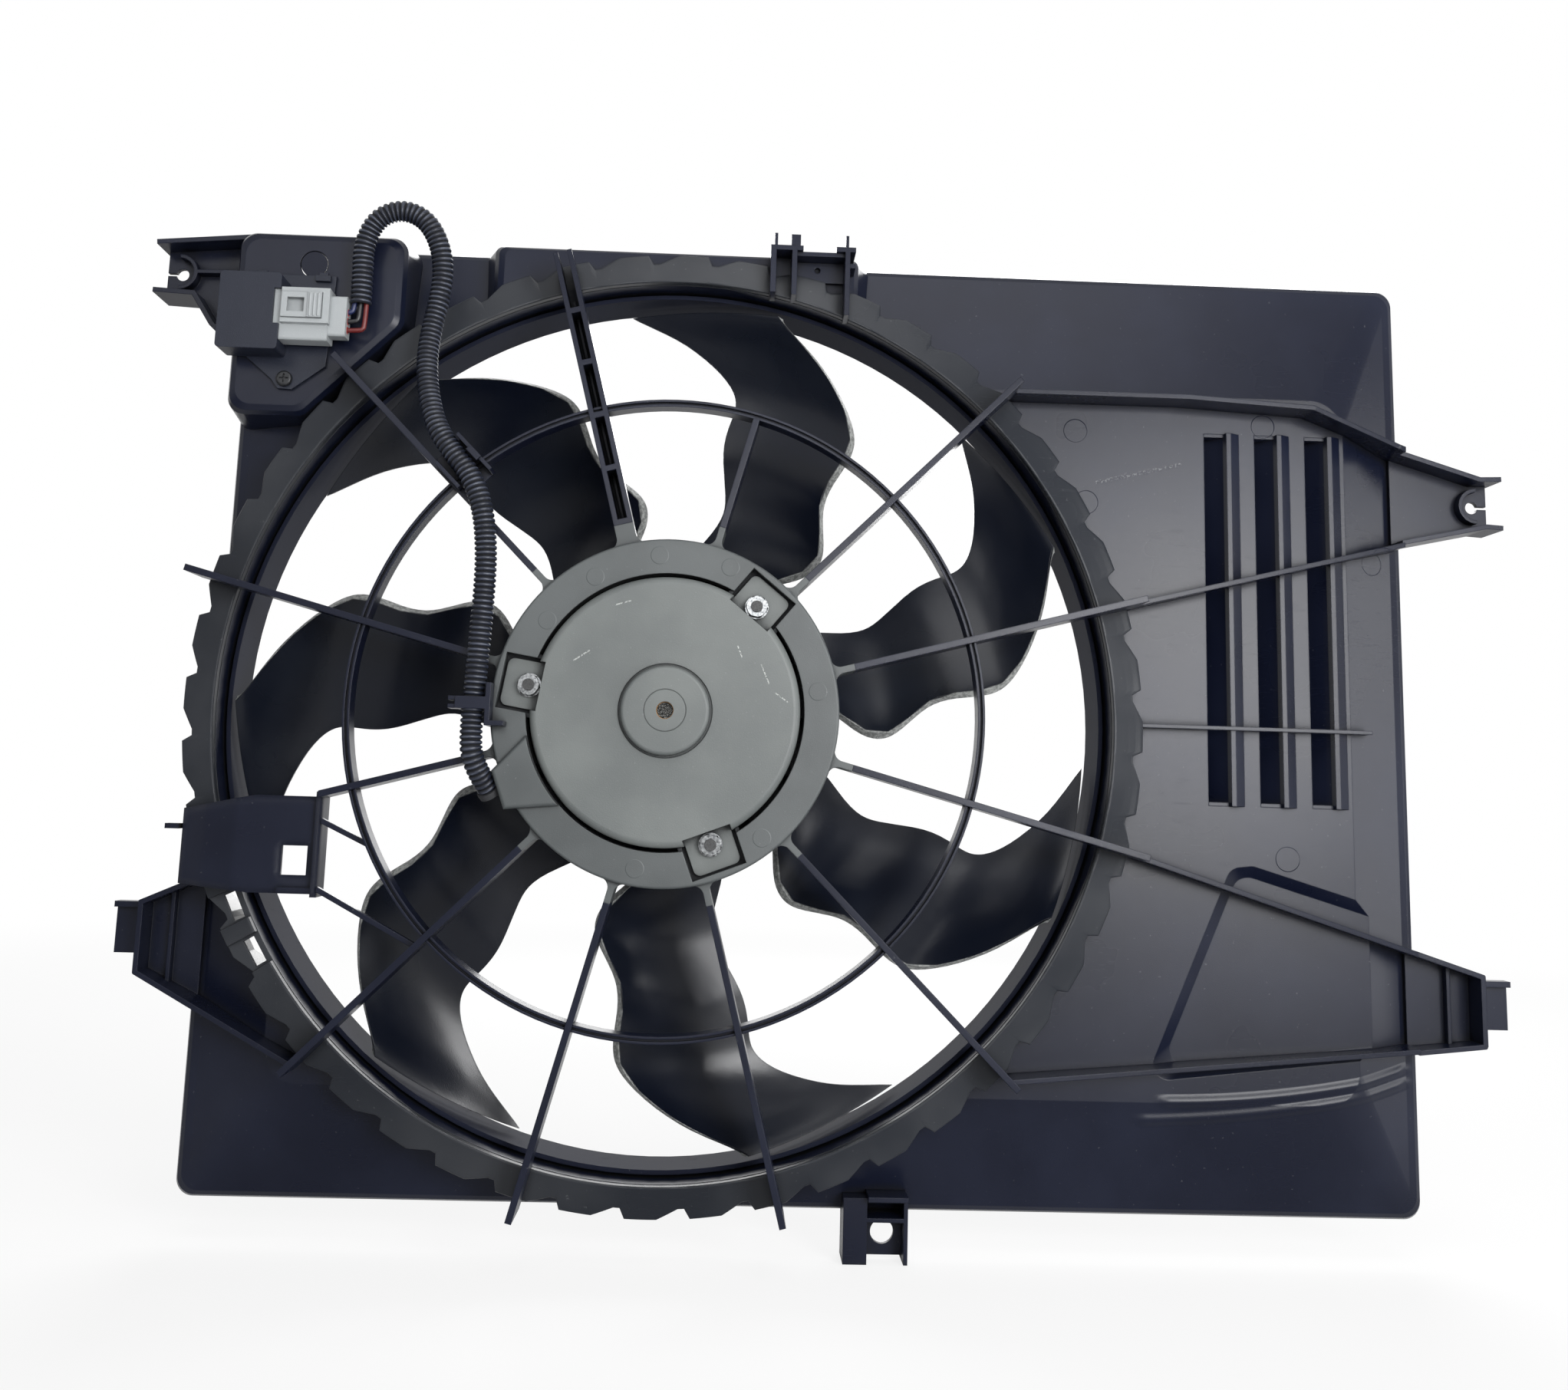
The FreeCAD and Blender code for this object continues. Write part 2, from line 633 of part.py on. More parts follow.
def lower_left_tab(form, ring, arms):
    root = -BODY_LEFT + 6.0
    high = (root, -90.5)
    plate = prism([(root, -151.0), high, LEFT_TAB_TOP, LEFT_TAB_LOW], TAB_BASE, TAB_BASE + TAB_PLATE)
    tip = arm_end(7)
    walls = [
        strip(high, LEFT_TAB_TOP, RIB_WIDTH, TAB_WALL_LOW, TAB_WALL_TOP),
        sloped_strip(LEFT_TAB_LOW, tip, RIB_WIDTH, TAB_WALL_LOW, TAB_WALL_TOP, RIB_TOP),
        strip(LEFT_TAB_TOP, LEFT_TAB_LOW, RIB_WIDTH, TAB_WALL_LOW, TAB_WALL_TOP),
        disc(RIB_WIDTH / 2, TAB_WALL_LOW, TAB_WALL_TOP, *LEFT_TAB_TOP),
        disc(RIB_WIDTH / 2, TAB_WALL_LOW, TAB_WALL_TOP, *LEFT_TAB_LOW),
        strip((-BODY_LEFT - 9.0, -98.0), (-BODY_LEFT - 9.0, -146.0), 2.0, TAB_BASE, TAB_BASE + 8.0),
    ]
    whole = fused([plate] + walls + hook(LEFT_TAB_TOP[0], LEFT_TAB_TOP[0] - 17.0, -130.0, -103.5))
    cut = whole.cut([form, ring] + arms)
    return max(cut.Solids, key=lambda solid: solid.Volume)


# Guard between ring and motor

def arm_profile(root, end):
    """Side view of a flat arm as (distance from axis, height) points."""
    slope = (ARM_TOP_OUTER - ARM_TOP_INNER) / (ARM_END_RADIUS - ARM_ROOT_RADIUS)
    drop = (ARM_UNDERSIDE_OUTER - ARM_UNDERSIDE_INNER) / (BARREL_RADIUS - ARM_ROOT_RADIUS)
    top_root = ARM_TOP_INNER + slope * (root - ARM_ROOT_RADIUS)
    top_end = ARM_TOP_INNER + slope * (end - ARM_ROOT_RADIUS)
    under_root = ARM_UNDERSIDE_INNER + drop * (root - ARM_ROOT_RADIUS)
    if end < BARREL_RADIUS:
        under_end = ARM_UNDERSIDE_INNER + drop * (end - ARM_ROOT_RADIUS)
        return [(root, under_root), (end, under_end), (end, top_end), (root, top_root)]
    foot = GROOVE_RADIUS + 1.0
    return [
        (root, under_root),
        (BARREL_RADIUS - 4.0, ARM_UNDERSIDE_OUTER),
        (foot, LEDGE_HEIGHT),
        (end, LEDGE_HEIGHT),
        (end, top_end),
        (root, top_root),
    ]


def arm_bar(root, end, width, offset=0.0):
    """A flat bar that stands on edge along +x, moved sideways by an offset."""
    ring = [Vector(r, offset - width / 2, z) for r, z in arm_profile(root, end)]
    face = Part.Face(Part.makePolygon(ring + ring[:1]))
    return face.extrude(Vector(0, width, 0))


def arm_angle(index):
    return ARM_FIRST_ANGLE + index * 360.0 / ARM_COUNT


def stator_arms(pocket):
    bars = []
    for i in range(ARM_COUNT):
        if i == LADDER_ARM:
            continue
        end = ARM_END_RADIUS
        if i == SHORT_ARM:
            end = MID_RING_RADIUS - MID_RING_WIDTH / 2
        if i == STRAP_ARM:
            end = STRAP_COLUMN_X / math.cos(math.radians(arm_angle(i))) * -1.0
        bar = arm_bar(ARM_ROOT_RADIUS, end, ARM_WIDTH)
        if i == STRAP_ARM:
            bar = turned(bar, arm_angle(i))
            beyond = block(-300, -STRAP_COLUMN_X + STRAP_COLUMN_WALL, -200, 200, 0, 100)
            bars.append(bar.cut(beyond))
            continue
        bars.append(turned(bar, arm_angle(i)).cut(pocket))
    return bars


def ladder_arm():
    """The double-rail arm: two thin rails joined by short bridges, prongs at its outer end."""
    side = (LADDER_WIDTH - LADDER_RAIL) / 2
    rails = [arm_bar(ARM_ROOT_RADIUS, ARM_END_RADIUS - 6.0, LADDER_RAIL, s * side) for s in (-1, 1)]
    bridges = []
    start = ARM_ROOT_RADIUS
    while start < GROOVE_RADIUS:
        profile = arm_profile(start, start + LADDER_BRIDGE)
        ring = [Vector(r, -side, z) for r, z in profile]
        face = Part.Face(Part.makePolygon(ring + ring[:1]))
        bridges.append(face.extrude(Vector(0, 2 * side, 0)))
        start += LADDER_BRIDGE_STEP
    spine = block(ARM_ROOT_RADIUS, BARREL_RADIUS - 6.0, -0.7, 0.7, ARM_UNDERSIDE_INNER + 2.0,
                  ARM_UNDERSIDE_INNER + 8.0)
    return turned(fused(rails + bridges + [spine]), arm_angle(LADDER_ARM))


def mid_ring(arms, clip):
    """Twin-rib guard ring, cut into the spans between the arms."""
    inner = MID_RING_RADIUS - MID_RING_WIDTH / 2
    outer = MID_RING_RADIUS + MID_RING_WIDTH / 2
    low = MID_RING_TOP - MID_RING_DEPTH
    ring = tube(outer, inner, low, MID_RING_TOP)
    groove = tube(MID_RING_RADIUS + 0.6, MID_RING_RADIUS - 0.6, MID_RING_TOP - 1.6, MID_RING_TOP)
    return ring.cut([groove] + arms + [clip]).Solids


STRAP_FOOT_X = -TOOTH_ROOT_RADIUS - 0.6
STRAP_COLUMN_X = 173.5
STRAP_COLUMN_WALL = 3.2
STRAP_LOW = -95.0
STRAP_HIGH = -47.0
STRAP_TOP = 64.0
STRAP_THICKNESS = 2.6
STRAP_TAB_LOW = -91.0
STRAP_TAB_HIGH = -57.0
STRAP_WINDOW = (-189.5, -176.8, -86.0, -71.5)
STRUT_WIDTH = 2.6
STRUT_TOP = 68.0
STRUT_NEAR_HIGH = -58.7
STRUT_NEAR_LOW = -92.3
STRUT_RIM_ANGLE = 205.9
STRUT_ARM_RADIUS = 168.5


def strap_bracket(ring):
    """A bent strap that bridges the fan ring, from the ledge to a column over the blades."""
    foot_x = STRAP_FOOT_X
    upper = [(foot_x, LEDGE_HEIGHT), (foot_x + 3, LEDGE_HEIGHT + 9), (foot_x + 16, STRAP_TOP - 5),
             (foot_x + 32, STRAP_TOP), (-STRAP_COLUMN_X, STRAP_TOP)]
    lower = [(x + (1.2 if z < STRAP_TOP - 1 else 0.0), z - STRAP_THICKNESS) for x, z in upper[2:]]
    profile = upper + lower[::-1] + [(foot_x + 6.5, LEDGE_HEIGHT + 8), (foot_x + 4, LEDGE_HEIGHT)]
    points = [Vector(x, STRAP_LOW, z) for x, z in profile]
    face = Part.Face(Part.makePolygon(points + points[:1]))
    band = face.extrude(Vector(0, STRAP_HIGH - STRAP_LOW, 0))
    taper_high = prism([(foot_x - 9, STRAP_TAB_HIGH), (-205.0, STRAP_HIGH), (-205.0, STRAP_HIGH + 9),
                        (foot_x - 9, STRAP_HIGH + 9)], LEDGE_HEIGHT - 1, STRAP_TOP + 5)
    taper_low = prism([(foot_x - 9, STRAP_TAB_LOW), (foot_x - 9, STRAP_LOW - 9), (-205.0, STRAP_LOW - 9),
                       (-205.0, STRAP_LOW)], LEDGE_HEIGHT - 1, STRAP_TOP + 5)
    window = block(*STRAP_WINDOW, STRAP_TOP - 6, STRAP_TOP + 6)
    column = block(-STRAP_COLUMN_X, -STRAP_COLUMN_X + STRAP_COLUMN_WALL, STRAP_LOW - 1.5,
                   STRAP_HIGH + 2.5, 52.0, STRAP_TOP + 3.0)
    frame = block(-190.5, -STRAP_COLUMN_X, STRAP_LOW, STRAP_LOW + 3.0, STRAP_TOP, STRAP_TOP + 2.0)
    barb = block(foot_x - 6, foot_x + 1, STRAP_TAB_HIGH - 8.0, STRAP_TAB_HIGH - 5.4, LEDGE_HEIGHT + 2.0,
                 LEDGE_HEIGHT + 9.0)
    return fused([band.cut([taper_high, taper_low, window]), column, frame, barb])


def strap_struts(arms):
    """Two slanting struts from the strap's column to the mid ring and the next arm."""
    near = -STRAP_COLUMN_X + STRAP_COLUMN_WALL
    rim = polar(MID_RING_RADIUS + MID_RING_WIDTH / 2 - 0.5, STRUT_RIM_ANGLE)
    arm = polar(STRUT_ARM_RADIUS, arm_angle(7))
    low = MID_RING_TOP - MID_RING_DEPTH
    struts = [
        strip((near, STRUT_NEAR_HIGH), (rim.x, rim.y), STRUT_WIDTH, low, STRUT_TOP),
        strip((near, STRUT_NEAR_LOW), (arm.x, arm.y), STRUT_WIDTH, low, STRUT_TOP),
    ]
    inside = disc(MID_RING_RADIUS + MID_RING_WIDTH / 2, 0, 100)
    column = block(-STRAP_COLUMN_X, near, -120, 0, 0, 100)
    first = struts[0].cut([inside, column])
    second = struts[1].cut([column] + arms)
    second = max(second.Solids, key=lambda solid: solid.Volume)
    return [first, second]


# Motor carrier, studs and nuts

def ear_angle(index):
    return EAR_ANGLE + index * 360.0 / EAR_COUNT


def motor_carrier():
    """Carrier ring: top plate, outer skirt, inner lip, flared arm roots and three ear pockets."""
    stub_top = CARRIER_HEIGHT - CARRIER_PLATE
    body = disc(CARRIER_RADIUS, CARRIER_BOTTOM, stub_top)
    stubs = []
    for i in range(ARM_COUNT):
        width = LADDER_WIDTH if i == LADDER_ARM else ARM_WIDTH
        stub = block(CARRIER_RADIUS - 4, ARM_ROOT_RADIUS, -width / 2, width / 2,
                     CARRIER_BOTTOM, ARM_TOP_INNER)
        stubs.append(turned(stub, arm_angle(i)))
    body = body.fuse(stubs).removeSplitter()
    corners = []
    for edge in body.Edges:
        ends = [v.Point for v in edge.Vertexes]
        if len(ends) != 2:
            continue
        upright = abs(ends[0].x - ends[1].x) < 1e-6 and abs(ends[0].y - ends[1].y) < 1e-6
        reach = math.hypot(ends[0].x, ends[0].y)
        if upright and abs(reach - CARRIER_RADIUS) < 0.5 and abs(ends[0].z - ends[1].z) > 15:
            corners.append(edge)
    body = body.makeFillet(ARM_FLARE, corners)
    plate = disc(CARRIER_RADIUS, stub_top, CARRIER_HEIGHT)
    top_edges = [e for e in plate.Edges if e.BoundBox.ZMin > CARRIER_HEIGHT - 0.01]
    plate = plate.makeFillet(1.2, top_edges)
    hollow = tube(CARRIER_RADIUS - CARRIER_WALL, CARRIER_BORE + 2.2, CARRIER_BOTTOM, stub_top)
    low_hollow = disc(CARRIER_RADIUS - CARRIER_WALL, CARRIER_BOTTOM, PAD_TOP - PAD_THICKNESS)
    bore = disc(CARRIER_BORE, CARRIER_BOTTOM, CARRIER_HEIGHT)
    ring = body.fuse(plate).cut([hollow, low_hollow, bore])
    pads = []
    holes = []
    for i in range(EAR_COUNT):
        pad = block(YOKE_RADIUS - 4.0, CARRIER_RADIUS - 1.0, -POCKET_WIDTH / 2 - 2, POCKET_WIDTH / 2 + 2,
                    PAD_TOP - PAD_THICKNESS, stub_top)
        pad = pad.common(disc(CARRIER_RADIUS - 0.5, 0, 100))
        pads.append(turned(pad, ear_angle(i)))
        pocket = block(EAR_INNER - 2, POCKET_OUTER, -POCKET_WIDTH / 2, POCKET_WIDTH / 2,
                       PAD_TOP, CARRIER_HEIGHT + 1)
        holes.append(turned(pocket, ear_angle(i)))
        stud = disc(STUD_RADIUS + STUD_FIT, PAD_TOP - PAD_THICKNESS - 1, PAD_TOP + 1, NUT_RADIUS_POS)
        holes.append(turned(stud, ear_angle(i)))
    slot = turned(block(CARRIER_BORE - 4, CARRIER_RADIUS + 4, -4, 4, LEAD_SLOT_LOW, LEAD_SLOT_HIGH), LEAD_ANGLE)
    holes.append(disc(YOKE_FLANGE + YOKE_CLEARANCE, PAD_TOP, CARRIER_HEIGHT + 1))
    holes.append(disc(YOKE_RADIUS + YOKE_CLEARANCE, 0, PAD_TOP))
    return ring.fuse(pads).cut(holes + [slot]).removeSplitter()


LEAD_ANGLE = 206.5
LEAD_SLOT_LOW = 67.5
LEAD_SLOT_HIGH = 78.4


def hexagon(across, low, high, x, y, bore):
    size = across / math.sqrt(3.0)
    points = [(x + size * math.cos(math.radians(60 * k)), y + size * math.sin(math.radians(60 * k)))
              for k in range(6)]
    body = prism(points, low, high)
    dome = Part.makeCone(size + (high - low) * 0.6, size - 0.6, high - low, Vector(x, y, low))
    return body.common(dome).cut(disc(bore, low, high, x, y))


def carrier_studs():
    """Weld studs pressed up through the pads, with flat heads below."""
    studs = []
    for i in range(EAR_COUNT):
        low = PAD_TOP - PAD_THICKNESS
        head = disc(STUD_RADIUS * 1.9, low - 2.0, low, NUT_RADIUS_POS)
        shank = disc(STUD_RADIUS, low - 1.0, low + STUD_LENGTH, NUT_RADIUS_POS)
        studs.append(turned(fused([head, shank]), ear_angle(i)))
    return studs


def ear_nuts():
    low = PAD_TOP + EAR_THICKNESS
    nuts = []
    for i in range(EAR_COUNT):
        nut = hexagon(NUT_ACROSS, low + 0.8, low + NUT_HEIGHT, NUT_RADIUS_POS, 0, STUD_RADIUS + 0.02)
        flange = disc(NUT_ACROSS * 0.6, low, low + 0.8, NUT_RADIUS_POS)
        flange = flange.cut(disc(STUD_RADIUS + 0.02, low, low + 0.8, NUT_RADIUS_POS))
        nuts.append(turned(fused([nut, flange]), ear_angle(i)))
    return nuts


# Motor

def ear_plan(wide, inner, outer, corner, low, high):
    plan = rectangle(inner, outer, -wide / 2, wide / 2)
    return Part.Face(rounded(plan, corner, low)).extrude(Vector(0, 0, high - low))


def motor_yoke():
    """Deep-drawn steel can: closed towards the fan, with three ears turned out at its open end."""
    top = PAD_TOP + EAR_THICKNESS
    can = disc(YOKE_RADIUS, YOKE_BOTTOM, top)
    low_edge = [e for e in can.Edges if e.BoundBox.ZMax < YOKE_BOTTOM + 0.01]
    can = can.makeFillet(3.0, low_edge)
    ears = []
    for i in range(EAR_COUNT):
        ear = ear_plan(EAR_WIDTH, EAR_INNER - 4, EAR_OUTER, EAR_CORNER, PAD_TOP, top)
        ears.append(turned(ear, ear_angle(i)))
    housing = disc(FRONT_HOUSING_RADIUS, YOKE_BOTTOM - FRONT_HOUSING_DEPTH, YOKE_BOTTOM + 1)
    flange = disc(YOKE_FLANGE, PAD_TOP, top)
    inside = disc(YOKE_RADIUS - YOKE_WALL, YOKE_BOTTOM + YOKE_WALL, top)
    seat = disc(BUSH_RADIUS, YOKE_BOTTOM - FRONT_HOUSING_DEPTH + 1.5, YOKE_BOTTOM + YOKE_WALL)
    way = disc(SHAFT_RADIUS + 1.0, YOKE_BOTTOM - FRONT_HOUSING_DEPTH, YOKE_BOTTOM + YOKE_WALL)
    body = can.fuse([housing, flange] + ears).cut(inside)
    holes = [turned(disc(STUD_RADIUS + 0.3, PAD_TOP - 1, top + 1, NUT_RADIUS_POS), ear_angle(i))
             for i in range(EAR_COUNT)]
    return body.cut([seat, way] + holes).removeSplitter()


def motor_cover():
    """Cover on the engine side, notched at the ears, with the rear bush housing in its boss."""
    low = PAD_TOP + EAR_THICKNESS
    notches = [turned(block(EAR_INNER, EAR_OUTER + 4, -EAR_WIDTH / 2 - 0.4, EAR_WIDTH / 2 + 0.4,
                            low, COVER_HEIGHT + 1), ear_angle(i)) for i in range(EAR_COUNT)]
    deep_notches = [turned(block(EAR_INNER - COVER_WALL, EAR_OUTER + 4, -EAR_WIDTH / 2 - COVER_WALL - 0.4,
                                 EAR_WIDTH / 2 + COVER_WALL + 0.4, low, COVER_HEIGHT + 1), ear_angle(i))
                    for i in range(EAR_COUNT)]
    lid = disc(COVER_RADIUS, low, COVER_HEIGHT)
    lid = lid.makeFillet(COVER_ROUND, [e for e in lid.Edges if e.BoundBox.ZMin > COVER_HEIGHT - 0.01])
    boss = disc(BOSS_RADIUS, COVER_HEIGHT - 1, BOSS_HEIGHT)
    boss = boss.makeFillet(1.8, [e for e in boss.Edges if e.BoundBox.ZMin > BOSS_HEIGHT - 0.01])
    lid = lid.cut(tube(BOSS_RADIUS + 1.4, BOSS_RADIUS, COVER_HEIGHT - 0.7, COVER_HEIGHT))
    hollow = disc(COVER_RADIUS - COVER_WALL, low, COVER_HEIGHT - COVER_WALL).cut(deep_notches)
    seat_top = BOSS_HEIGHT - BOSS_ROOF
    seat = disc(BUSH_RADIUS, COVER_HEIGHT - COVER_WALL, seat_top)
    dimple = disc(DIMPLE_RADIUS, seat_top, BOSS_HEIGHT)
    mark = tube(BOSS_MARK + 0.2, BOSS_MARK - 0.2, BOSS_HEIGHT - 0.25, BOSS_HEIGHT)
    return lid.cut(notches).fuse(boss).cut([hollow, seat, dimple, mark]).removeSplitter()


def bush(low, high):
    return tube(BUSH_RADIUS, SHAFT_RADIUS + SHAFT_FIT, low, high)


def front_bush():
    low = YOKE_BOTTOM - FRONT_HOUSING_DEPTH + 1.5
    return bush(low, low + BUSH_LENGTH)


def rear_bush():
    return bush(COVER_HEIGHT - COVER_WALL - 1.0, BOSS_HEIGHT - BOSS_ROOF)


CORE_LOW = YOKE_BOTTOM + YOKE_WALL + COIL_CROWN + 1.5
CORE_RADIUS = YOKE_RADIUS - YOKE_WALL - MAGNET_THICKNESS - AIR_GAP


def field_magnets():
    """Arc magnets on the inside of the can."""
    outer = YOKE_RADIUS - YOKE_WALL
    inner = outer - MAGNET_THICKNESS
    magnets = []
    for i in range(MAGNET_COUNT):
        sector = [(0.0, 0.0)]
        steps = 6
        for k in range(steps + 1):
            spot = polar(outer * 1.3, -MAGNET_ANGLE / 2 + MAGNET_ANGLE * k / steps)
            sector.append((spot.x, spot.y))
        low = CORE_LOW - 2.0
        high = CORE_LOW + CORE_LENGTH + 2.0
        arc = tube(outer, inner, low, high).common(prism(sector, low, high))
        magnets.append(turned(arc, 30.0 + i * 360.0 / MAGNET_COUNT))
    return magnets


def armature_core():
    """Laminated core with slots for the coils."""
    core = tube(CORE_RADIUS, SHAFT_RADIUS, CORE_LOW, CORE_LOW + CORE_LENGTH)
    slots = []
    for i in range(CORE_SLOTS):
        slot = block(CORE_HUB_RADIUS, CORE_RADIUS - 3.0, -SLOT_WIDTH / 2, SLOT_WIDTH / 2,
                     CORE_LOW, CORE_LOW + CORE_LENGTH)
        mouth = block(CORE_RADIUS - 3.5, CORE_RADIUS + 1, -0.8, 0.8, CORE_LOW, CORE_LOW + CORE_LENGTH)
        slots.append(turned(slot.fuse(mouth), i * 360.0 / CORE_SLOTS))
    return core.cut(slots)


def armature_windings():
    """Copper in the slots, joined by the crown of end turns on each side of the core."""
    bars = []
    inner, outer = CORE_HUB_RADIUS + 0.2, CORE_RADIUS - 3.2
    for i in range(CORE_SLOTS):
        bar = block(inner, outer, -SLOT_WIDTH / 2 + 0.2, SLOT_WIDTH / 2 - 0.2,
                    CORE_LOW - 0.5, CORE_LOW + CORE_LENGTH + 0.5)
        bars.append(turned(bar, i * 360.0 / CORE_SLOTS))
    crowns = [tube(outer, inner, CORE_LOW - COIL_CROWN, CORE_LOW - 0.2),
              tube(outer, inner, CORE_LOW + CORE_LENGTH + 0.2, CORE_LOW + CORE_LENGTH + COIL_CROWN)]
    return fused(crowns + bars)


COMMUTATOR_LOW = CORE_LOW + CORE_LENGTH + COIL_CROWN + 0.5


def commutator():
    """Copper drum of segments, with the grooves that part them."""
    drum = tube(COMMUTATOR_RADIUS, SHAFT_RADIUS, COMMUTATOR_LOW, COMMUTATOR_LOW + COMMUTATOR_LENGTH)
    cuts = []
    for i in range(CORE_SLOTS):
        cut = block(COMMUTATOR_RADIUS - 1.0, COMMUTATOR_RADIUS + 1, -0.3, 0.3,
                    COMMUTATOR_LOW, COMMUTATOR_LOW + COMMUTATOR_LENGTH)
        cuts.append(turned(cut, (i + 0.5) * 360.0 / CORE_SLOTS))
    return drum.cut(cuts)


BRUSH_LOW = COMMUTATOR_LOW + 2.0
BRUSH_ANGLE = 20.8


def brush_plate():
    """Insulating plate with four brush boxes, held between can and cover."""
    low = BRUSH_LOW - BOX_WALL - 1.2
    plate = tube(YOKE_RADIUS - YOKE_WALL, COMMUTATOR_RADIUS + 1.5, low, BRUSH_LOW - BOX_WALL)
    rim_radius = EAR_INNER - COVER_WALL - 2.0
    rim = tube(rim_radius, rim_radius - 2.0, low, COVER_HEIGHT - COVER_WALL)
    boxes = []
    holes = []
    inner = COMMUTATOR_RADIUS + 2.5
    outer = inner + BRUSH_LENGTH + 7.0
    for i in range(BRUSH_COUNT):
        angle = BRUSH_ANGLE + i * 360.0 / BRUSH_COUNT
        half = BRUSH_WIDTH / 2 + 0.1
        box = block(inner, outer, -half - BOX_WALL, half + BOX_WALL, BRUSH_LOW - BOX_WALL,
                    BRUSH_LOW + BRUSH_HEIGHT + 0.2 + BOX_WALL * 0.3)
        boxes.append(turned(box, angle))
        hole = block(inner - 1, outer - BOX_WALL, -half, half, BRUSH_LOW - 0.1, BRUSH_LOW + BRUSH_HEIGHT + 0.1)
        holes.append(turned(hole, angle))
    return fused([plate, rim] + boxes).cut(holes)


def carbon_brushes():
    """Four carbon blocks, their tips ground to the commutator."""
    brushes = []
    for i in range(BRUSH_COUNT):
        brush = block(0, COMMUTATOR_RADIUS + BRUSH_GAP + BRUSH_LENGTH, -BRUSH_WIDTH / 2, BRUSH_WIDTH / 2,
                      BRUSH_LOW, BRUSH_LOW + BRUSH_HEIGHT)
        brush = brush.cut(disc(COMMUTATOR_RADIUS + BRUSH_GAP, 0, 100))
        brushes.append(turned(brush, BRUSH_ANGLE + i * 360.0 / BRUSH_COUNT))
    return brushes


def brush_springs():
    """Compression springs behind the brushes, drawn as their outer sleeves."""
    start = COMMUTATOR_RADIUS + BRUSH_GAP + BRUSH_LENGTH
    end = COMMUTATOR_RADIUS + 2.5 + BRUSH_LENGTH + 7.0 - BOX_WALL
    springs = []
    for i in range(BRUSH_COUNT):
        mid = BRUSH_LOW + BRUSH_HEIGHT / 2
        outer = Part.makeCylinder(2.0, end - start, Vector(start, 0, mid), Vector(1, 0, 0))
        inner = Part.makeCylinder(1.3, end - start, Vector(start, 0, mid), Vector(1, 0, 0))
        springs.append(turned(outer.cut(inner), BRUSH_ANGLE + i * 360.0 / BRUSH_COUNT))
    return springs


def rotor_shaft():
    """Steel shaft from the hub nut to the rear bush, level with the radiator face at its front end."""
    return disc(SHAFT_RADIUS, HUB_FLOOR - HUB_NUT_HEIGHT - 1.0, BOSS_HEIGHT - BOSS_ROOF - SHAFT_END_GAP)


def thrust_rings():
    """Fibre washers that take the end play at each bush."""
    low = YOKE_BOTTOM - FRONT_HOUSING_DEPTH + 1.5 + BUSH_LENGTH
    front = tube(SHAFT_RADIUS + 3.0, SHAFT_RADIUS, low + 0.3, low + 1.3)
    high = COVER_HEIGHT - COVER_WALL - 1.0
    rear_low = COMMUTATOR_LOW + COMMUTATOR_LENGTH
    rear = tube(SHAFT_RADIUS + 3.0, SHAFT_RADIUS, rear_low, min(rear_low + 1.2, high - 0.3))
    return [front, rear]


# Impeller

BLADE_TRAILING = [(70.0, 14.0), (82.0, 6.5), (92.0, 1.5), (104.0, -2.6), (116.0, -2.6), (127.0, 1.2),
                  (138.0, 4.8), (152.0, 6.2), (166.0, 6.3), (178.0, 7.2), (190.0, 10.5), (202.0, 15.2),
                  (214.0, 20.6), (226.5, 25.4), (236.0, 29.6)]
BLADE_LEADING = [(70.0, 39.0), (82.0, 35.5), (92.0, 32.2), (104.0, 28.2), (116.0, 26.3), (127.0, 27.0),
                 (138.0, 28.4), (152.0, 29.6), (166.0, 29.4), (178.0, 29.0), (190.0, 31.0), (202.0, 35.2),
                 (214.0, 40.4), (226.5, 46.2), (236.0, 51.0)]


def blade_height(share, radius):
    """Height of the blade's upper skin: from the high trailing edge to the low leading edge."""
    reach = (BLADE_TIP_RADIUS - radius) / (BLADE_TIP_RADIUS - HUB_RADIUS)
    high = BLADE_HIGH + BLADE_ROOT_RISE * reach
    low = BLADE_LOW + BLADE_THICKNESS + BLADE_ROOT_RISE * 0.6 * reach
    bow = BLADE_CAMBER * 4 * share * (1 - share)
    return high + (low - high) * share - bow


def blade():
    """One S-curved blade: two smooth skins over a grid of stations, closed by ruled edges."""
    across = 5
    top_grid, low_grid = [], []
    for (radius, trail), (_, lead) in zip(BLADE_TRAILING, BLADE_LEADING):
        top_row, low_row = [], []
        lip = math.degrees(BLADE_LIP / radius)
        for k in range(across):
            share = k / (across - 1)
            angle = trail + (lead - trail) * share
            height = blade_height(share, radius)
            top_row.append(polar(radius, angle, height))
            below = BLADE_THICKNESS * (1.0 - 0.45 * share)
            slide = -lip * (1 - share) * 0.9
            low_row.append(polar(radius, angle + slide, height - below - 1.2 * (1 - share)))
        top_grid.append(top_row)
        low_grid.append(low_row)
    skins = []
    for grid in (top_grid, low_grid):
        surface = Part.BSplineSurface()
        surface.interpolate(grid)
        skins.append(surface)
    faces = [skin.toShape() for skin in skins]
    for iso in ("u0", "u1", "v0", "v1"):
        curves = []
        for skin in skins:
            u0, u1, v0, v1 = skin.bounds()
            if iso[0] == "u":
                curve = skin.uIso(u0 if iso[1] == "0" else u1)
            else:
                curve = skin.vIso(v0 if iso[1] == "0" else v1)
            curves.append(curve.toShape())
        faces.append(Part.makeRuledSurface(curves[0], curves[1]))
    shell = Part.makeShell(faces)
    shell.sewShape()
    solid = Part.makeSolid(shell)
    if solid.Volume < 0:
        solid.reverse()
    keep = tube(BLADE_TIP_RADIUS, HUB_RADIUS - HUB_WALL * 0.5, 0.0, 60.0)
    return solid.common(keep)


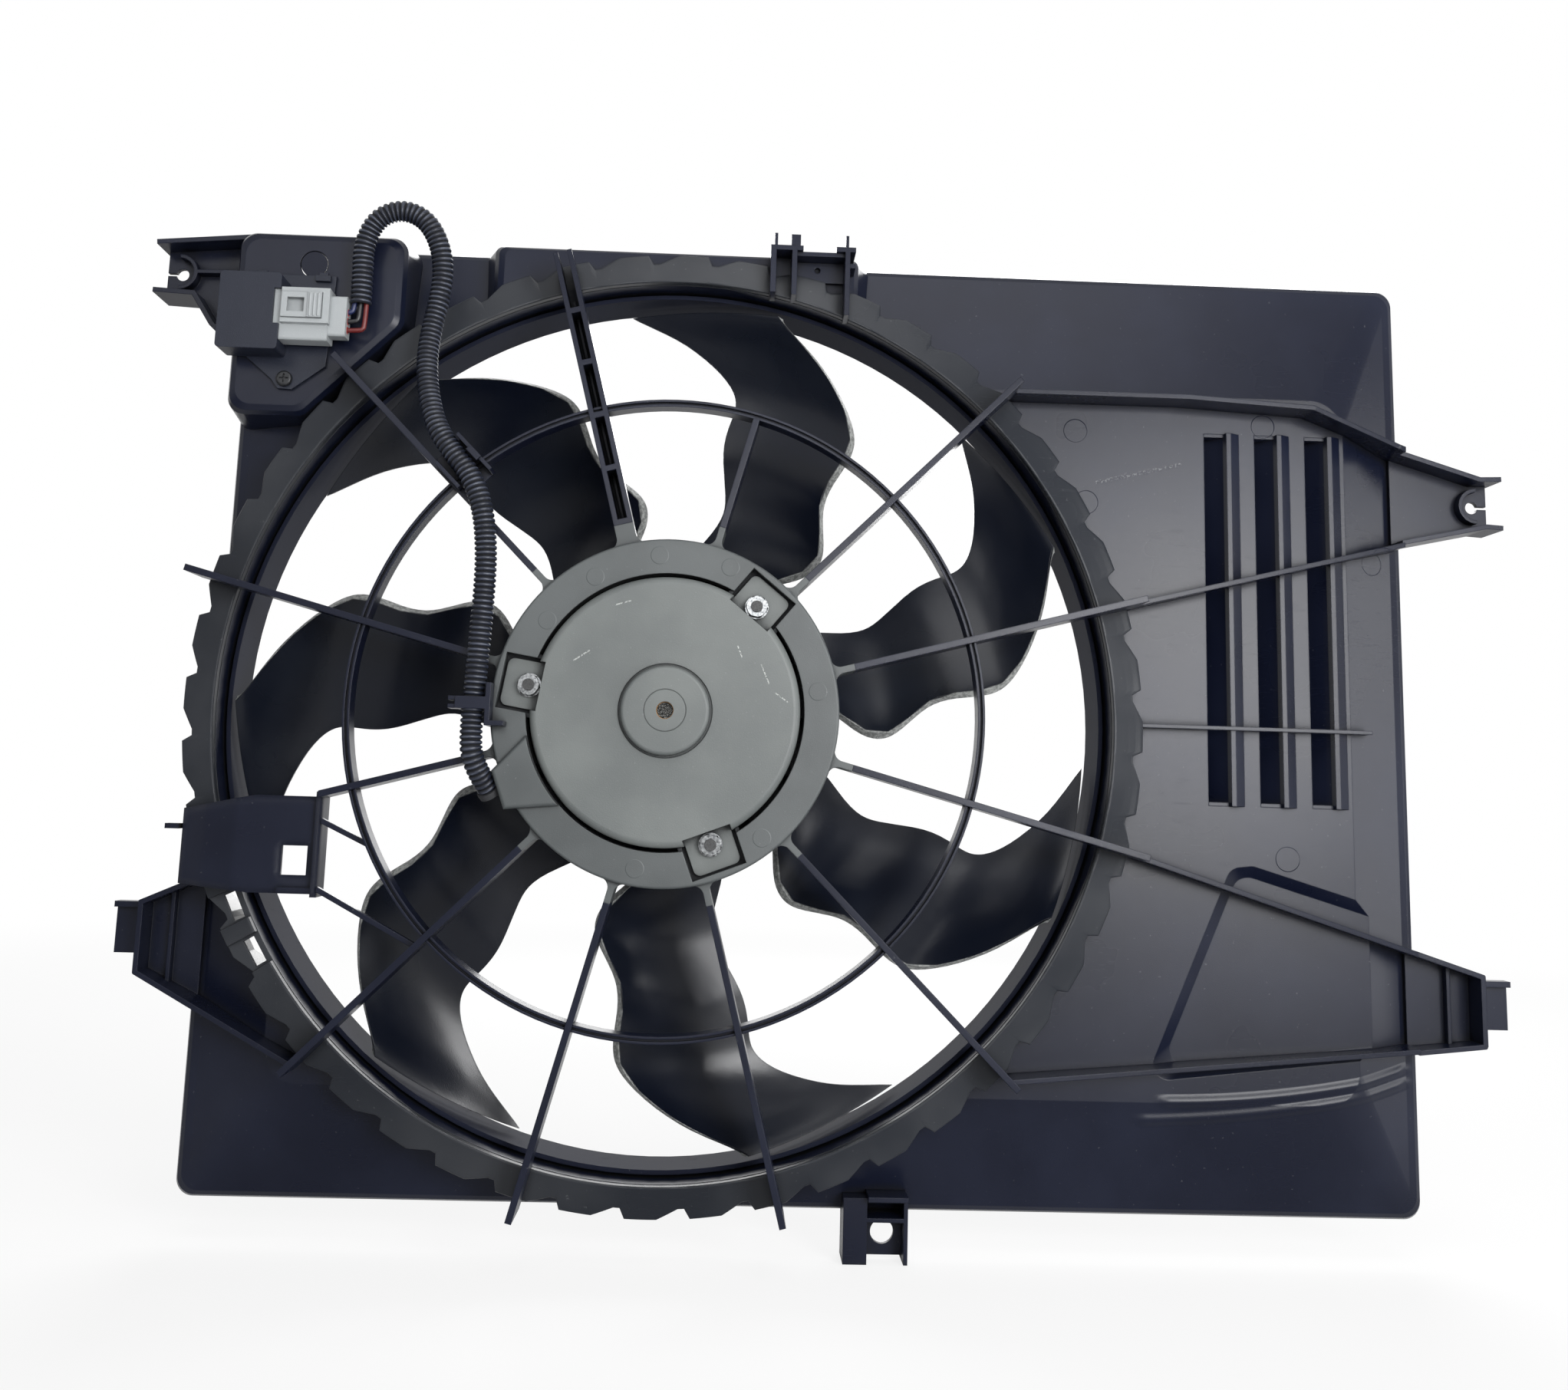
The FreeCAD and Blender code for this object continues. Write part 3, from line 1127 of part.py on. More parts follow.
def impeller():
    """Hub cup open towards the motor, ribbed inside, with its blades."""
    cup = disc(HUB_RADIUS, HUB_FLOOR, HUB_TOP)
    front = [e for e in cup.Edges if e.BoundBox.ZMax < HUB_FLOOR + 0.01]
    cup = cup.makeFillet(4.0, front)
    hollow = disc(HUB_RADIUS - HUB_WALL, HUB_FLOOR + HUB_WALL, HUB_TOP)
    boss = disc(HUB_BOSS_RADIUS, HUB_FLOOR, HUB_BOSS_TOP)
    ribs = []
    for i in range(HUB_RIBS):
        points = [
            Vector(HUB_BOSS_RADIUS - 1, -1.1, HUB_FLOOR + 1),
            Vector(HUB_RADIUS - HUB_WALL + 0.5, -1.1, HUB_FLOOR + 1),
            Vector(HUB_RADIUS - HUB_WALL + 0.5, -1.1, HUB_BOSS_TOP - 4),
            Vector(HUB_RADIUS * 0.72, -1.1, HUB_FLOOR + 14),
            Vector(HUB_BOSS_RADIUS - 1, -1.1, HUB_BOSS_TOP - 3),
        ]
        rib = Part.Face(Part.makePolygon(points + points[:1])).extrude(Vector(0, 2.2, 0))
        ribs.append(turned(rib, i * 360.0 / HUB_RIBS))
    bore = disc(HUB_INSERT_RADIUS, HUB_FLOOR - 1, HUB_BOSS_TOP)
    recess = disc(HUB_BOSS_RADIUS - 2.5, HUB_FLOOR - 1, HUB_FLOOR + 1.0)
    blades = [turned(blade(), i * 360.0 / BLADE_COUNT) for i in range(BLADE_COUNT)]
    return cup.cut(hollow).fuse([boss] + ribs + blades).cut([bore, recess])


def hub_insert():
    """Metal sleeve moulded into the hub, which the shaft is pressed through."""
    return tube(HUB_INSERT_RADIUS, SHAFT_RADIUS, HUB_FLOOR + 1.0, HUB_BOSS_TOP)


def hub_washer():
    high = HUB_FLOOR + 1.0
    return tube(HUB_BOSS_RADIUS - 3.0, SHAFT_RADIUS, high - HUB_WASHER, high)


def hub_nut():
    high = HUB_FLOOR + 1.0 - HUB_WASHER
    return hexagon(HUB_NUT_ACROSS, high - HUB_NUT_HEIGHT, high, 0, 0, SHAFT_RADIUS)


# Brackets on the ring's edge

HOSE_BRACKET_TOP = 60.0
HOSE_BRACKET_WALL = (251.4, 254.0)
HOSE_BRACKET_POSTS = ((46.0, 49.0, 227.5), (57.5, 60.3, 226.5), (86.3, 89.0, 216.0))
HOSE_BRACKET_BARS = ((46.0, 63.5), (81.5, 92.0))
HOSE_BRACKET_LINK = (60.0, 87.0)
HOSE_BRACKET_PINS = ((48.0, 49.6, 7.0), (57.0, 62.0, 6.5), (86.6, 88.2, 6.8))
HOSE_BRACKET_HOLE = (72.0, 245.0)


def top_bracket(form, ring):
    """Hose bracket: three upright plates, a floor with a small hole and three short pins."""
    seat = FAIRING_HEIGHT
    top = HOSE_BRACKET_TOP
    front, back = HOSE_BRACKET_WALL
    posts = [block(x0, x1, y0, back, seat, top) for x0, x1, y0 in HOSE_BRACKET_POSTS]
    bars = [block(x0, x1, front, back, seat - 4, top) for x0, x1 in HOSE_BRACKET_BARS]
    bars.append(block(*HOSE_BRACKET_LINK, front - 2.2, front + 0.2, seat - 4, top - 3))
    floor = block(HOSE_BRACKET_POSTS[0][0], HOSE_BRACKET_POSTS[2][1], 238.0, 252.0, seat, seat + 2.4)
    ear = block(88.0, 92.0, 243.0, 245.4, seat, top - 2)
    pins = [block(x0, x1, back - 0.2, back + reach, top - 5, top - 1)
            for x0, x1, reach in HOSE_BRACKET_PINS]
    hole = disc(1.6, seat - 2, seat + 5, *HOSE_BRACKET_HOLE)
    return fused(posts + bars + [floor, ear] + pins).cut([hole, form, ring])


LOWER_BRACKET_DEPTH = (8.0, 30.0)
LOWER_BRACKET_X = (98.6, 110.8, 131.7)
LOWER_BRACKET_END = -274.0
LOWER_BRACKET_WALL = 2.1


def bottom_bracket(form):
    """Lower bracket: a square block and a plate with a round hole, hung from the panel."""
    low, high = LOWER_BRACKET_DEPTH
    left, middle, right = LOWER_BRACKET_X
    end = LOWER_BRACKET_END
    wall = LOWER_BRACKET_WALL
    side = block(left, middle, end, -BODY_LOW + 9.7, low, high)
    side = side.cut(block(left + wall, middle - wall, end + wall, -BODY_LOW - wall, low - 1, high - wall))
    plate = block(middle, right, end + 1.7, -BODY_LOW, low + 6.0, low + 9.0)
    cheek = block(right - wall, right, end, -BODY_LOW + 8.0, low, high)
    bars = [block(middle, right - 0.5, -BODY_LOW + 9.0, -BODY_LOW + 11.5, low + 8.0, high + 6.0),
            block(left, right, -BODY_LOW - wall, -BODY_LOW, low, high)]
    return fused([side, plate, cheek] + bars).cut([disc(LOWER_HOLE_RADIUS, 0, 50, *LOWER_HOLE), form])


LOWER_HOLE = (119.6, -261.0)


# Speed module, socket and plug

MODULE_SCREW = (-210.4, 171.3)
RESISTOR_AT = (-200.0, 236.0)
RESISTOR_RADIUS = 7.0
RESISTOR_LENGTH = 26.0
RESISTOR_RIBS = 6
RESISTOR_PITCH = 4.0
MODULE_CLIP_SPOTS = ((-226.0, 227.0), (-193.6, 227.0))
MODULE_OUTLINE = [(-187.0, 229.0), (-233.0, 229.0), (-233.0, 184.0), (-217.5, 171.0), (-214.0, 166.2),
                  (-206.5, 165.8), (-189.5, 179.0)]


def module_plate():
    """Flat base of the speed module, screwed to the pocket's roof."""
    outline = MODULE_OUTLINE[::-1]
    low, high = POCKET_HEIGHT, POCKET_HEIGHT + PLATE_THICKNESS
    body = prism(outline, low, high)
    return body.cut(disc(SCREW_RADIUS + 0.1, low, high, *MODULE_SCREW))


def module_clips():
    """Two snap clips that hold the plate's upper edge."""
    low = POCKET_HEIGHT + PLATE_THICKNESS
    clips = []
    for x, y in MODULE_CLIP_SPOTS:
        foot = block(x - 4.0, x + 4.0, y - 1.6, y + 1.6, low, low + 2.4)
        nose = block(x - 2.4, x + 2.4, y + 1.6, y + 3.4, low, low + 1.4)
        clips.append(fused([foot, nose]))
    return clips


def module_screw():
    x, y = MODULE_SCREW
    low = POCKET_HEIGHT + PLATE_THICKNESS
    head = disc(SCREW_HEAD_RADIUS, low, low + 2.4, x, y)
    head = head.makeFillet(1.2, [e for e in head.Edges if e.BoundBox.ZMin > low + 2.39])
    cross = [block(x - 2.4, x + 2.4, y - 0.45, y + 0.45, low + 1.2, low + 3),
             block(x - 0.45, x + 0.45, y - 2.4, y + 2.4, low + 1.2, low + 3)]
    shank = disc(SCREW_RADIUS, low - 12.0, low, x, y)
    return fused([head.cut(cross), shank])


def speed_resistor():
    """Wound resistor behind the plate, out of sight in the pocket."""
    foot = POCKET_HEIGHT - RESISTOR_LENGTH
    core = disc(RESISTOR_RADIUS, foot, POCKET_HEIGHT, *RESISTOR_AT)
    grooves = [tube(RESISTOR_RADIUS + 0.1, RESISTOR_RADIUS - 1.0, foot + RESISTOR_PITCH * k,
                    foot + RESISTOR_PITCH * (k + 0.5), *RESISTOR_AT) for k in range(RESISTOR_RIBS)]
    return core.cut(grooves)


def module_socket():
    """Black socket of the module, open towards the plug."""
    x0, y0 = SOCKET_LOW
    x1, y1 = SOCKET_HIGH
    low = POCKET_HEIGHT + PLATE_THICKNESS
    body = block(x0, x1, y0, y1, low, SOCKET_TOP)
    upright = [e for e in body.Edges if abs(e.Vertexes[0].Z - e.Vertexes[1].Z) > 1]
    body = body.makeFillet(2.0, upright)
    mouth = block(PLUG_FRONT - PLUG_GAP, x1 + 1, PLUG_Y0 - PLUG_GAP, PLUG_Y1 + PLUG_GAP,
                  PLUG_LOW - PLUG_GAP, PLUG_LOW + PLUG_HEIGHT + PLUG_GAP)
    slot = block(x1 - 3.4, x1 + 1, LATCH_Y0 - 1.0, LATCH_Y1 + 1.0, PLUG_LOW + PLUG_HEIGHT, SOCKET_TOP + 1)
    clear_plate = [block(-250, -150, 150, 260, low - 3, low)]
    return body.cut([mouth, slot] + clear_plate)


PLUG_FRONT = -229.0
PLUG_LOW = 54.6
PLUG_Y0 = 189.0
PLUG_Y1 = 217.5
LATCH_Y0 = 198.0
LATCH_Y1 = 215.0
LATCH_HINGE_X = -187.0
LATCH_FRONT_X = -213.0


def plug_body():
    """Grey plug: a box that enters the socket, a waist and the narrower wire end."""
    high = PLUG_LOW + PLUG_HEIGHT
    nose = block(PLUG_FRONT, -186.0, PLUG_Y0, PLUG_Y1, PLUG_LOW, high)
    nose = nose.makeFillet(1.5, [e for e in nose.Edges if abs(e.Vertexes[0].X - e.Vertexes[1].X) > 5])
    tail = block(-186.0, PLUG_REAR, PLUG_Y0 + 3.0, PLUG_Y1 - 3.6, PLUG_LOW + 1.5, high - 1.0)
    tail = tail.makeFillet(1.5, [e for e in tail.Edges if abs(e.Vertexes[0].X - e.Vertexes[1].X) > 5])
    frame_high = high + 3.2
    frame = block(SOCKET_HIGH[0] + 0.8, LATCH_HINGE_X + 2.0, LATCH_Y0 - 0.5, LATCH_Y1 + 1.5, high - 0.5, frame_high)
    well = block(SOCKET_HIGH[0] - 1.0, LATCH_HINGE_X - 1.6, LATCH_Y0 + 1.9, LATCH_Y1 - 0.9, high, frame_high + 1)
    cells = [Part.makeCylinder(WIRE_RADIUS + 0.7, 4.0, Vector(PLUG_REAR - 4.0, y, WIRE_Z), Vector(1, 0, 0))
             for y in WIRE_Y]
    return fused([nose, tail, frame.cut(well)]).cut(cells)


WIRE_Y = (196.6, 201.4, 206.2)
WIRE_Z = 61.0
CONDUIT_MOUTH_Y = 211.0
WIRE_X = (-167.9, -171.0, -174.1)


def plug_latch():
    """Latch lever: a thin tongue hinged at its rear, with a hook for the socket's edge."""
    high = PLUG_LOW + PLUG_HEIGHT
    left = SOCKET_HIGH[0] + 1.2
    y0, y1 = LATCH_Y0 + 1.9 + LATCH_GAP, LATCH_Y1 - 0.9 - LATCH_GAP
    tongue = block(left, LATCH_HINGE_X - 1.6 - LATCH_GAP, y0, y1, high + 2.6, high + 4.2)
    pad = block(LATCH_HINGE_X - 9.0, LATCH_HINGE_X - 1.6 - LATCH_GAP, y0, y1, high + 2.6, high + 5.0)
    slot = block(left + 3.0, LATCH_HINGE_X - 11.0, y0 + 3.0, y1 - 3.0, high + 2, high + 6)
    return fused([tongue, pad]).cut(slot)


def wire_seals():
    seals = []
    for y in WIRE_Y:
        at = Vector(PLUG_REAR - 4.0, y, WIRE_Z)
        seal = Part.makeCylinder(WIRE_RADIUS + 0.7, 4.0, at, Vector(1, 0, 0))
        seals.append(seal.cut(Part.makeCylinder(WIRE_RADIUS, 4.0, at, Vector(1, 0, 0))))
    return seals


def plug_wires():
    """Three wires that leave the plug and turn up into the conduit."""
    wires = []
    for y, x in zip(WIRE_Y, WIRE_X):
        start = (PLUG_REAR - 4.0, y, WIRE_Z)
        wires.append(tube_along([start, (x, y, WIRE_Z), (x, CONDUIT_MOUTH_Y, WIRE_Z)], WIRE_RADIUS))
    return wires


# Lead from the plug to the motor

CONDUIT_ROUTE = [
    (-171.0, CONDUIT_MOUTH_Y, WIRE_Z),
    (-171.0, 227.5, WIRE_Z),
    (-171.8, 243.5, 61.0),
    (-166.3, 258.6, 61.0),
    (-153.8, 265.0, 61.0),
    (-140.8, 261.0, 61.0),
    (-132.4, 249.5, 61.0),
    (-128.4, 233.5, 61.0),
    (-129.4, 216.5, 61.4),
    (-132.4, 198.5, 63.0),
    (-133.2, 180.5, 67.0),
    (-129.8, 160.5, 73.0),
    (-123.2, 141.5, 79.2),
    (-113.8, 128.6, 82.2),
    (-103.0, 115.8, 84.4),
    (-96.0, 99.0, 86.2),
    (-93.0, 78.0, 86.8),
    (-92.9, 56.0, 86.6),
    (-93.8, 34.0, 86.4),
    (-94.6, 12.0, 86.4),
    (-95.6, -10.0, 86.9),
    (-94.4, -28.5, 87.2),
    (-86.4, -40.5, 78.6),
]
CLIP_RUN = 19


def tube_along(points, radius):
    """A round bar along straight runs joined by tangent arcs, each arc as large as its runs allow."""
    spots = [Vector(*p) for p in points]
    ring = Part.makeCircle(radius, spots[0], spots[1] - spots[0])
    faces = [Part.Face(Part.Wire(ring))]
    radii = []
    length = 0.0
    last = spots[0]
    for before, corner, after in zip(spots, spots[1:], spots[2:]):
        u = (before - corner).normalize()
        v = (after - corner).normalize()
        turn = math.pi - u.getAngle(v)
        run = 0.45 * min(before.distanceToPoint(corner), after.distanceToPoint(corner))
        bend = run / math.tan(turn / 2)
        start = corner + u * run
        faces.append(ring.extrude(start - last))
        ring = ring.translated(start - last)
        axis = v.cross(u).normalize()
        centre = start + axis.cross(u).normalize() * bend
        if centre.distanceToPoint(corner + v * run) > bend + 0.01:
            centre = start - axis.cross(u).normalize() * bend
        if ring.rotated(centre, axis, math.degrees(turn)).CenterOfMass.distanceToPoint(
                corner + v * run) > 0.01:
            axis = axis * -1.0
        faces.append(ring.revolve(centre, axis, math.degrees(turn)))
        ring = ring.rotated(centre, axis, math.degrees(turn))
        radii.append(bend)
        length += start.distanceToPoint(last) + bend * turn
        last = corner + v * run
    faces.append(ring.extrude(spots[-1] - last))
    length += spots[-1].distanceToPoint(last)
    faces.append(Part.Face(Part.Wire(ring.translated(spots[-1] - last))))
    shell = Part.makeShell(faces)
    shell.sewShape()
    body = Part.makeSolid(shell)
    if body.Volume < 0:
        body.reverse()
    share = body.Volume / (math.pi * radius ** 2 * length)
    print("bend radii", [round(r, 1) for r in radii])
    print("length", round(length, 1), "volume against section times length", round(share, 4))
    return body


def run_line(route, index):
    """Start, direction and length of one run of a route."""
    start, end = Vector(*route[index]), Vector(*route[index + 1])
    return start, (end - start).normalize(), start.distanceToPoint(end)


def conduit():
    return tube_along(CONDUIT_ROUTE, CONDUIT_RADIUS)


BOOT_LENGTH = 3.0
NECK_RADIUS = 3.6


def lead_grommet(lead):
    """Rubber boot at the end of the conduit, with the neck that enters the carrier's slot."""
    start, way, length = run_line(CONDUIT_ROUTE, len(CONDUIT_ROUTE) - 2)
    end = start + way * length
    boot = Part.makeCylinder(CONDUIT_RADIUS + 0.8, BOOT_LENGTH, end, way)
    heart = end + way * BOOT_LENGTH / 2
    inner = polar(CARRIER_RADIUS - CARRIER_WALL - 1.0, LEAD_ANGLE, (LEAD_SLOT_LOW + LEAD_SLOT_HIGH) / 2 - 1)
    neck_way = inner - heart
    neck = Part.makeCylinder(NECK_RADIUS, neck_way.Length, heart, neck_way)
    skirt_gap = disc(CARRIER_RADIUS - CARRIER_WALL - 1.0, 0, 100)
    return fused([boot, neck]).cut([skirt_gap, lead])


def lead_cover(grommet):
    """Cap over the motor lead where it enters the carrier."""
    low = 71.0
    top = COVER_HEIGHT - 0.8
    cap = prism(LEAD_COVER_OUTLINE, low, top)
    cap = cap.makeFillet(1.8, [e for e in cap.Edges if e.BoundBox.ZMin > top - 0.01])
    bore = disc(CARRIER_BORE + 0.3, 0, 100)
    under = disc(CARRIER_RADIUS, 0, CARRIER_HEIGHT)
    start, way, length = run_line(CONDUIT_ROUTE, len(CONDUIT_ROUTE) - 2)
    room = CONDUIT_RADIUS + 0.8 + CLIP_GAP
    channel = Part.makeCylinder(room, length + 4 * BOOT_LENGTH, start, way)
    cap = cap.cut([bore, under, channel, grommet])
    return max(cap.Solids, key=lambda solid: solid.Volume)


LEAD_COVER_OUTLINE = [(-66.0, -11.5), (-84.5, -31.8), (-77.5, -50.5), (-46.0, -47.5)]
CHANNEL_LENGTH = 25.5
CHANNEL_START = 150.5
CHANNEL_WIDTH = 15.8
CHANNEL_FLOOR = 75.0
CHANNEL_WALL = 2.0
CHANNEL_TOP = 87.0


def arm_channel(arms):
    """Open trough on the side of an arm, which the conduit lies in."""
    side = -ARM_WIDTH / 2
    start, end = CHANNEL_START, CHANNEL_START + CHANNEL_LENGTH
    low = side - CHANNEL_WIDTH
    floor = block(start, end, low, side, CHANNEL_FLOOR - CHANNEL_WALL, CHANNEL_FLOOR)
    wall = block(start, end, low - CHANNEL_WALL, low, CHANNEL_FLOOR - CHANNEL_WALL, CHANNEL_TOP)
    near = block(start + 4, end - 4, side, side + CHANNEL_WALL, CHANNEL_FLOOR, CHANNEL_TOP)
    lip = block(start + 8, start + 16, low - CHANNEL_WALL, low + 1.2, CHANNEL_TOP, CHANNEL_TOP + 1.4)
    trough = turned(fused([floor, wall, lip]), arm_angle(4))
    fence = turned(near, arm_angle(4)).cut(arms)
    return Part.makeCompound([trough.cut(arms)] + fence.Solids)


CLIP_WALL = 1.8
CLIP_BAND = 6.0


def carrier_clip(carrier):
    """Hooked band on the carrier's rim that holds the conduit."""
    start, way, length = run_line(CONDUIT_ROUTE, CLIP_RUN)
    hold = start + way * (length / 2)
    reach = CONDUIT_RADIUS + CLIP_GAP + CLIP_WALL
    x0, x1 = hold.x - reach, hold.x + reach
    z0, z1 = hold.z - reach, hold.z + reach
    y0, y1 = hold.y - CLIP_BAND / 2, hold.y + CLIP_BAND / 2
    band = block(x0, x1, y0, y1, z0, z1)
    hole = Part.makeCylinder(CONDUIT_RADIUS + CLIP_GAP, 4 * CLIP_BAND, hold - way * 2 * CLIP_BAND, way)
    tongues = [block(x0 - 3.5, x0 + 1, y0, y0 + 2.0, z0 + 4, z1 - 1),
               block(x0 - 3.5, x0 + 1, y1 - 2.0, y1, z0 + 4, z1 - 1)]
    stem = block(x1 - 1, x1 + 1.6, y0 - 8.0, y1 + 7.0, CARRIER_BOTTOM + 8, z1)
    foot = block(x1 - 1, x1 + 8.5, y0 - 8.0, y0 - 5.6, CARRIER_HEIGHT, z1)
    root = block(x1 - 1, -CARRIER_RADIUS + 2.0, y0, y1, CARRIER_BOTTOM + 8, CARRIER_HEIGHT - 4)
    body = fused([band, stem, foot, root] + tongues)
    return body.cut([hole, disc(CARRIER_RADIUS, 0, CARRIER_HEIGHT), carrier])


def stood_up(shape):
    """Turns a piece from lying on its radiator face to its place in the car."""
    copy = shape.copy()
    copy.rotate(Vector(0, 0, 0), Vector(1, 0, 0), 90)
    return copy


def write(name, shape):
    solids = shape if isinstance(shape, list) else shape.Solids
    whole = solids[0] if len(solids) == 1 else Part.makeCompound(solids)
    stood_up(whole).exportStep(os.path.join("parts", name + ".step"))
    valid = all(solid.isValid() for solid in solids)
    volume = sum(solid.Volume for solid in solids)
    print(name, "solids", len(solids), "valid", valid, "cm3", round(volume / 1000, 2))


def main():
    os.makedirs("parts", exist_ok=True)
    form = panel_form(0.0, 0.0)
    ring = fan_ring()
    vanes = louvre_vanes()
    bars = stator_arms(pocket_form(0.0, 0.0))
    ladder = ladder_arm()
    arms = bars + [ladder]
    lead = conduit()
    channel = arm_channel(arms)
    carrier = motor_carrier()
    grommet = lead_grommet(lead)
    write("shroud_panel", shroud_panel())
    write("fan_ring", ring)
    write("louvre_vanes", vanes)
    write("panel_ribs", panel_ribs(form, ring, vanes, arms))
    write("upper_right_tab", upper_right_tab(form))
    write("upper_left_tab", upper_left_tab(form))
    write("lower_right_tab", lower_right_tab(form))
    write("lower_left_tab", lower_left_tab(form, ring, arms))
    write("top_bracket", top_bracket(form, ring))
    write("bottom_bracket", bottom_bracket(form))
    write("strap_bracket", strap_bracket(ring))
    write("strap_struts", strap_struts(arms))
    write("stator_arms", bars)
    write("ladder_arm", ladder)
    write("mid_ring", mid_ring(arms, channel))
    write("motor_carrier", carrier)
    write("carrier_studs", carrier_studs())
    write("ear_nuts", ear_nuts())
    write("motor_yoke", motor_yoke())
    write("motor_cover", motor_cover())
    write("front_bush", front_bush())
    write("rear_bush", rear_bush())
    write("field_magnets", field_magnets())
    write("brush_plate", brush_plate())
    write("carbon_brushes", carbon_brushes())
    write("brush_springs", brush_springs())
    write("rotor_shaft", rotor_shaft())
    write("armature_core", armature_core())
    write("armature_windings", armature_windings())
    write("commutator", commutator())
    write("thrust_rings", thrust_rings())
    write("impeller", impeller())
    write("hub_insert", hub_insert())
    write("hub_washer", hub_washer())
    write("hub_nut", hub_nut())
    write("module_plate", module_plate())
    write("module_clips", module_clips())
    write("module_screw", module_screw())
    write("speed_resistor", speed_resistor())
    write("module_socket", module_socket())
    write("plug_body", plug_body())
    write("plug_latch", plug_latch())
    write("wire_seals", wire_seals())
    write("plug_wires", plug_wires())
    write("conduit", lead)
    write("lead_grommet", grommet)
    write("lead_cover", lead_cover(grommet))
    write("arm_channel", channel)
    write("carrier_clip", carrier_clip(carrier))


main()
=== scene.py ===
# %% [markdown]
# # A radiator fan, seen from the engine side
# The real object is a black moulded shroud that carries one seven-bladed fan and its motor,
# a small speed module with a grey plug, and a ribbed conduit that takes the lead to the motor.
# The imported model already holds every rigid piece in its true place. This lesson adds what a
# solid model leaves out: the ribs of the conduit, the soft bend of the wires, the slope of the
# ring's ledge, and the finish of every surface. The frame is loaded first, because every later
# step is placed by it.

import math

import bpy
import numpy as np
from mathutils import Matrix, Vector


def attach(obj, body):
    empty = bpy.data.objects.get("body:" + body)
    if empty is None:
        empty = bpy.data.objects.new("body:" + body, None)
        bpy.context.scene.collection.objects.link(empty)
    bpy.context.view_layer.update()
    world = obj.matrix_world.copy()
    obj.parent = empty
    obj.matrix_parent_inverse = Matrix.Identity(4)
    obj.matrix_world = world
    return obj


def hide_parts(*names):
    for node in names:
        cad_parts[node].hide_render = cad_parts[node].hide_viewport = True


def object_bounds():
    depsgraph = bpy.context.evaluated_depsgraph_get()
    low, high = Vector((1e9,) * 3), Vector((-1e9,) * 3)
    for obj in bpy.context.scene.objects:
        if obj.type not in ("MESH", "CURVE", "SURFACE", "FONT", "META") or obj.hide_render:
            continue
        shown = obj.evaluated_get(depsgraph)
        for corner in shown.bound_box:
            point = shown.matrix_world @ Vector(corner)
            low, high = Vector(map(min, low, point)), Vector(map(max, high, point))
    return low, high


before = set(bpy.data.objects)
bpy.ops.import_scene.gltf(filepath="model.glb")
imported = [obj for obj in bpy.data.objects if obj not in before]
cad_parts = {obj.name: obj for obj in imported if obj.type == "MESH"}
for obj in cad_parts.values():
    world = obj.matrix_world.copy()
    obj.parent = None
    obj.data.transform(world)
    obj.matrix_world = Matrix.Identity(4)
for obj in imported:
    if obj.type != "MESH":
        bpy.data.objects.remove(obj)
solid_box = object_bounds()

# %% [markdown]
# ## The camera
# The photograph was taken a little below the fan's axis and to its right, less than a metre away.
# The lens, the tilt and the place below were worked out from round and square features whose
# sizes are known, such as the ring, the motor cover and the nuts. The optical centre lies above
# the middle of the picture, so the camera gets a small shift, as a cropped photograph needs.

# %% Camera
PHOTO_WIDTH = 2044
PHOTO_HEIGHT = 1812
FOCAL_PIXELS = 2078.7
OPTICAL_CENTRE = (1029.8, 703.1)
SENSOR_WIDTH = 36.0
CAMERA_PLACE = (0.0321, -0.8857, -0.0405)
CAMERA_ROLL = 0.028
CAMERA_TURN = -0.039
CAMERA_TILT = 0.159

eye = bpy.data.cameras.new("camera")
eye.sensor_width = SENSOR_WIDTH
eye.lens = FOCAL_PIXELS / PHOTO_WIDTH * SENSOR_WIDTH
eye.shift_x = 0.5 - OPTICAL_CENTRE[0] / PHOTO_WIDTH
eye.shift_y = (OPTICAL_CENTRE[1] - PHOTO_HEIGHT / 2) / PHOTO_WIDTH
camera = bpy.data.objects.new("camera", eye)
bpy.context.scene.collection.objects.link(camera)
upright = Matrix.Rotation(math.radians(90), 4, "X")
lean = Matrix.Identity(4)
for turn, axis in ((CAMERA_ROLL, "Z"), (CAMERA_TURN, "Y"), (CAMERA_TILT, "X")):
    lean = lean @ Matrix.Rotation(turn, 4, axis)
camera.matrix_world = Matrix.Translation(CAMERA_PLACE) @ upright @ lean
bpy.context.scene.camera = camera
print("lens", round(eye.lens, 2), "shift", round(eye.shift_x, 4), round(eye.shift_y, 4))

# %% [markdown]
# ## Studio light
# Black plastic is drawn by what it mirrors. In the photograph the middle and right of the panel
# mirror one wide window of light in front, while the left and the foot stay nearly black. So the
# main softbox stands in front and to the right, behind the camera, and five others open up the
# motor cover, the module, the top, the sloping right edge and the back. Together they give a
# level at which a colour renders about as it is written.

# %% Softboxes
AIM = Vector((0.08, 0.0, 0.0))


def softbox(name, place, width, height, power):
    """A flat lamp that looks at the object: width by height in metres, power in watts."""
    lamp = bpy.data.lights.new(name, "AREA")
    lamp.shape = "RECTANGLE"
    lamp.size = width
    lamp.size_y = height
    lamp.energy = power
    holder = bpy.data.objects.new(name, lamp)
    bpy.context.scene.collection.objects.link(holder)
    facing = (AIM - Vector(place)).to_track_quat("-Z", "Y").to_matrix().to_4x4()
    holder.matrix_world = Matrix.Translation(place) @ facing
    print(name, "at", place, "power", power)


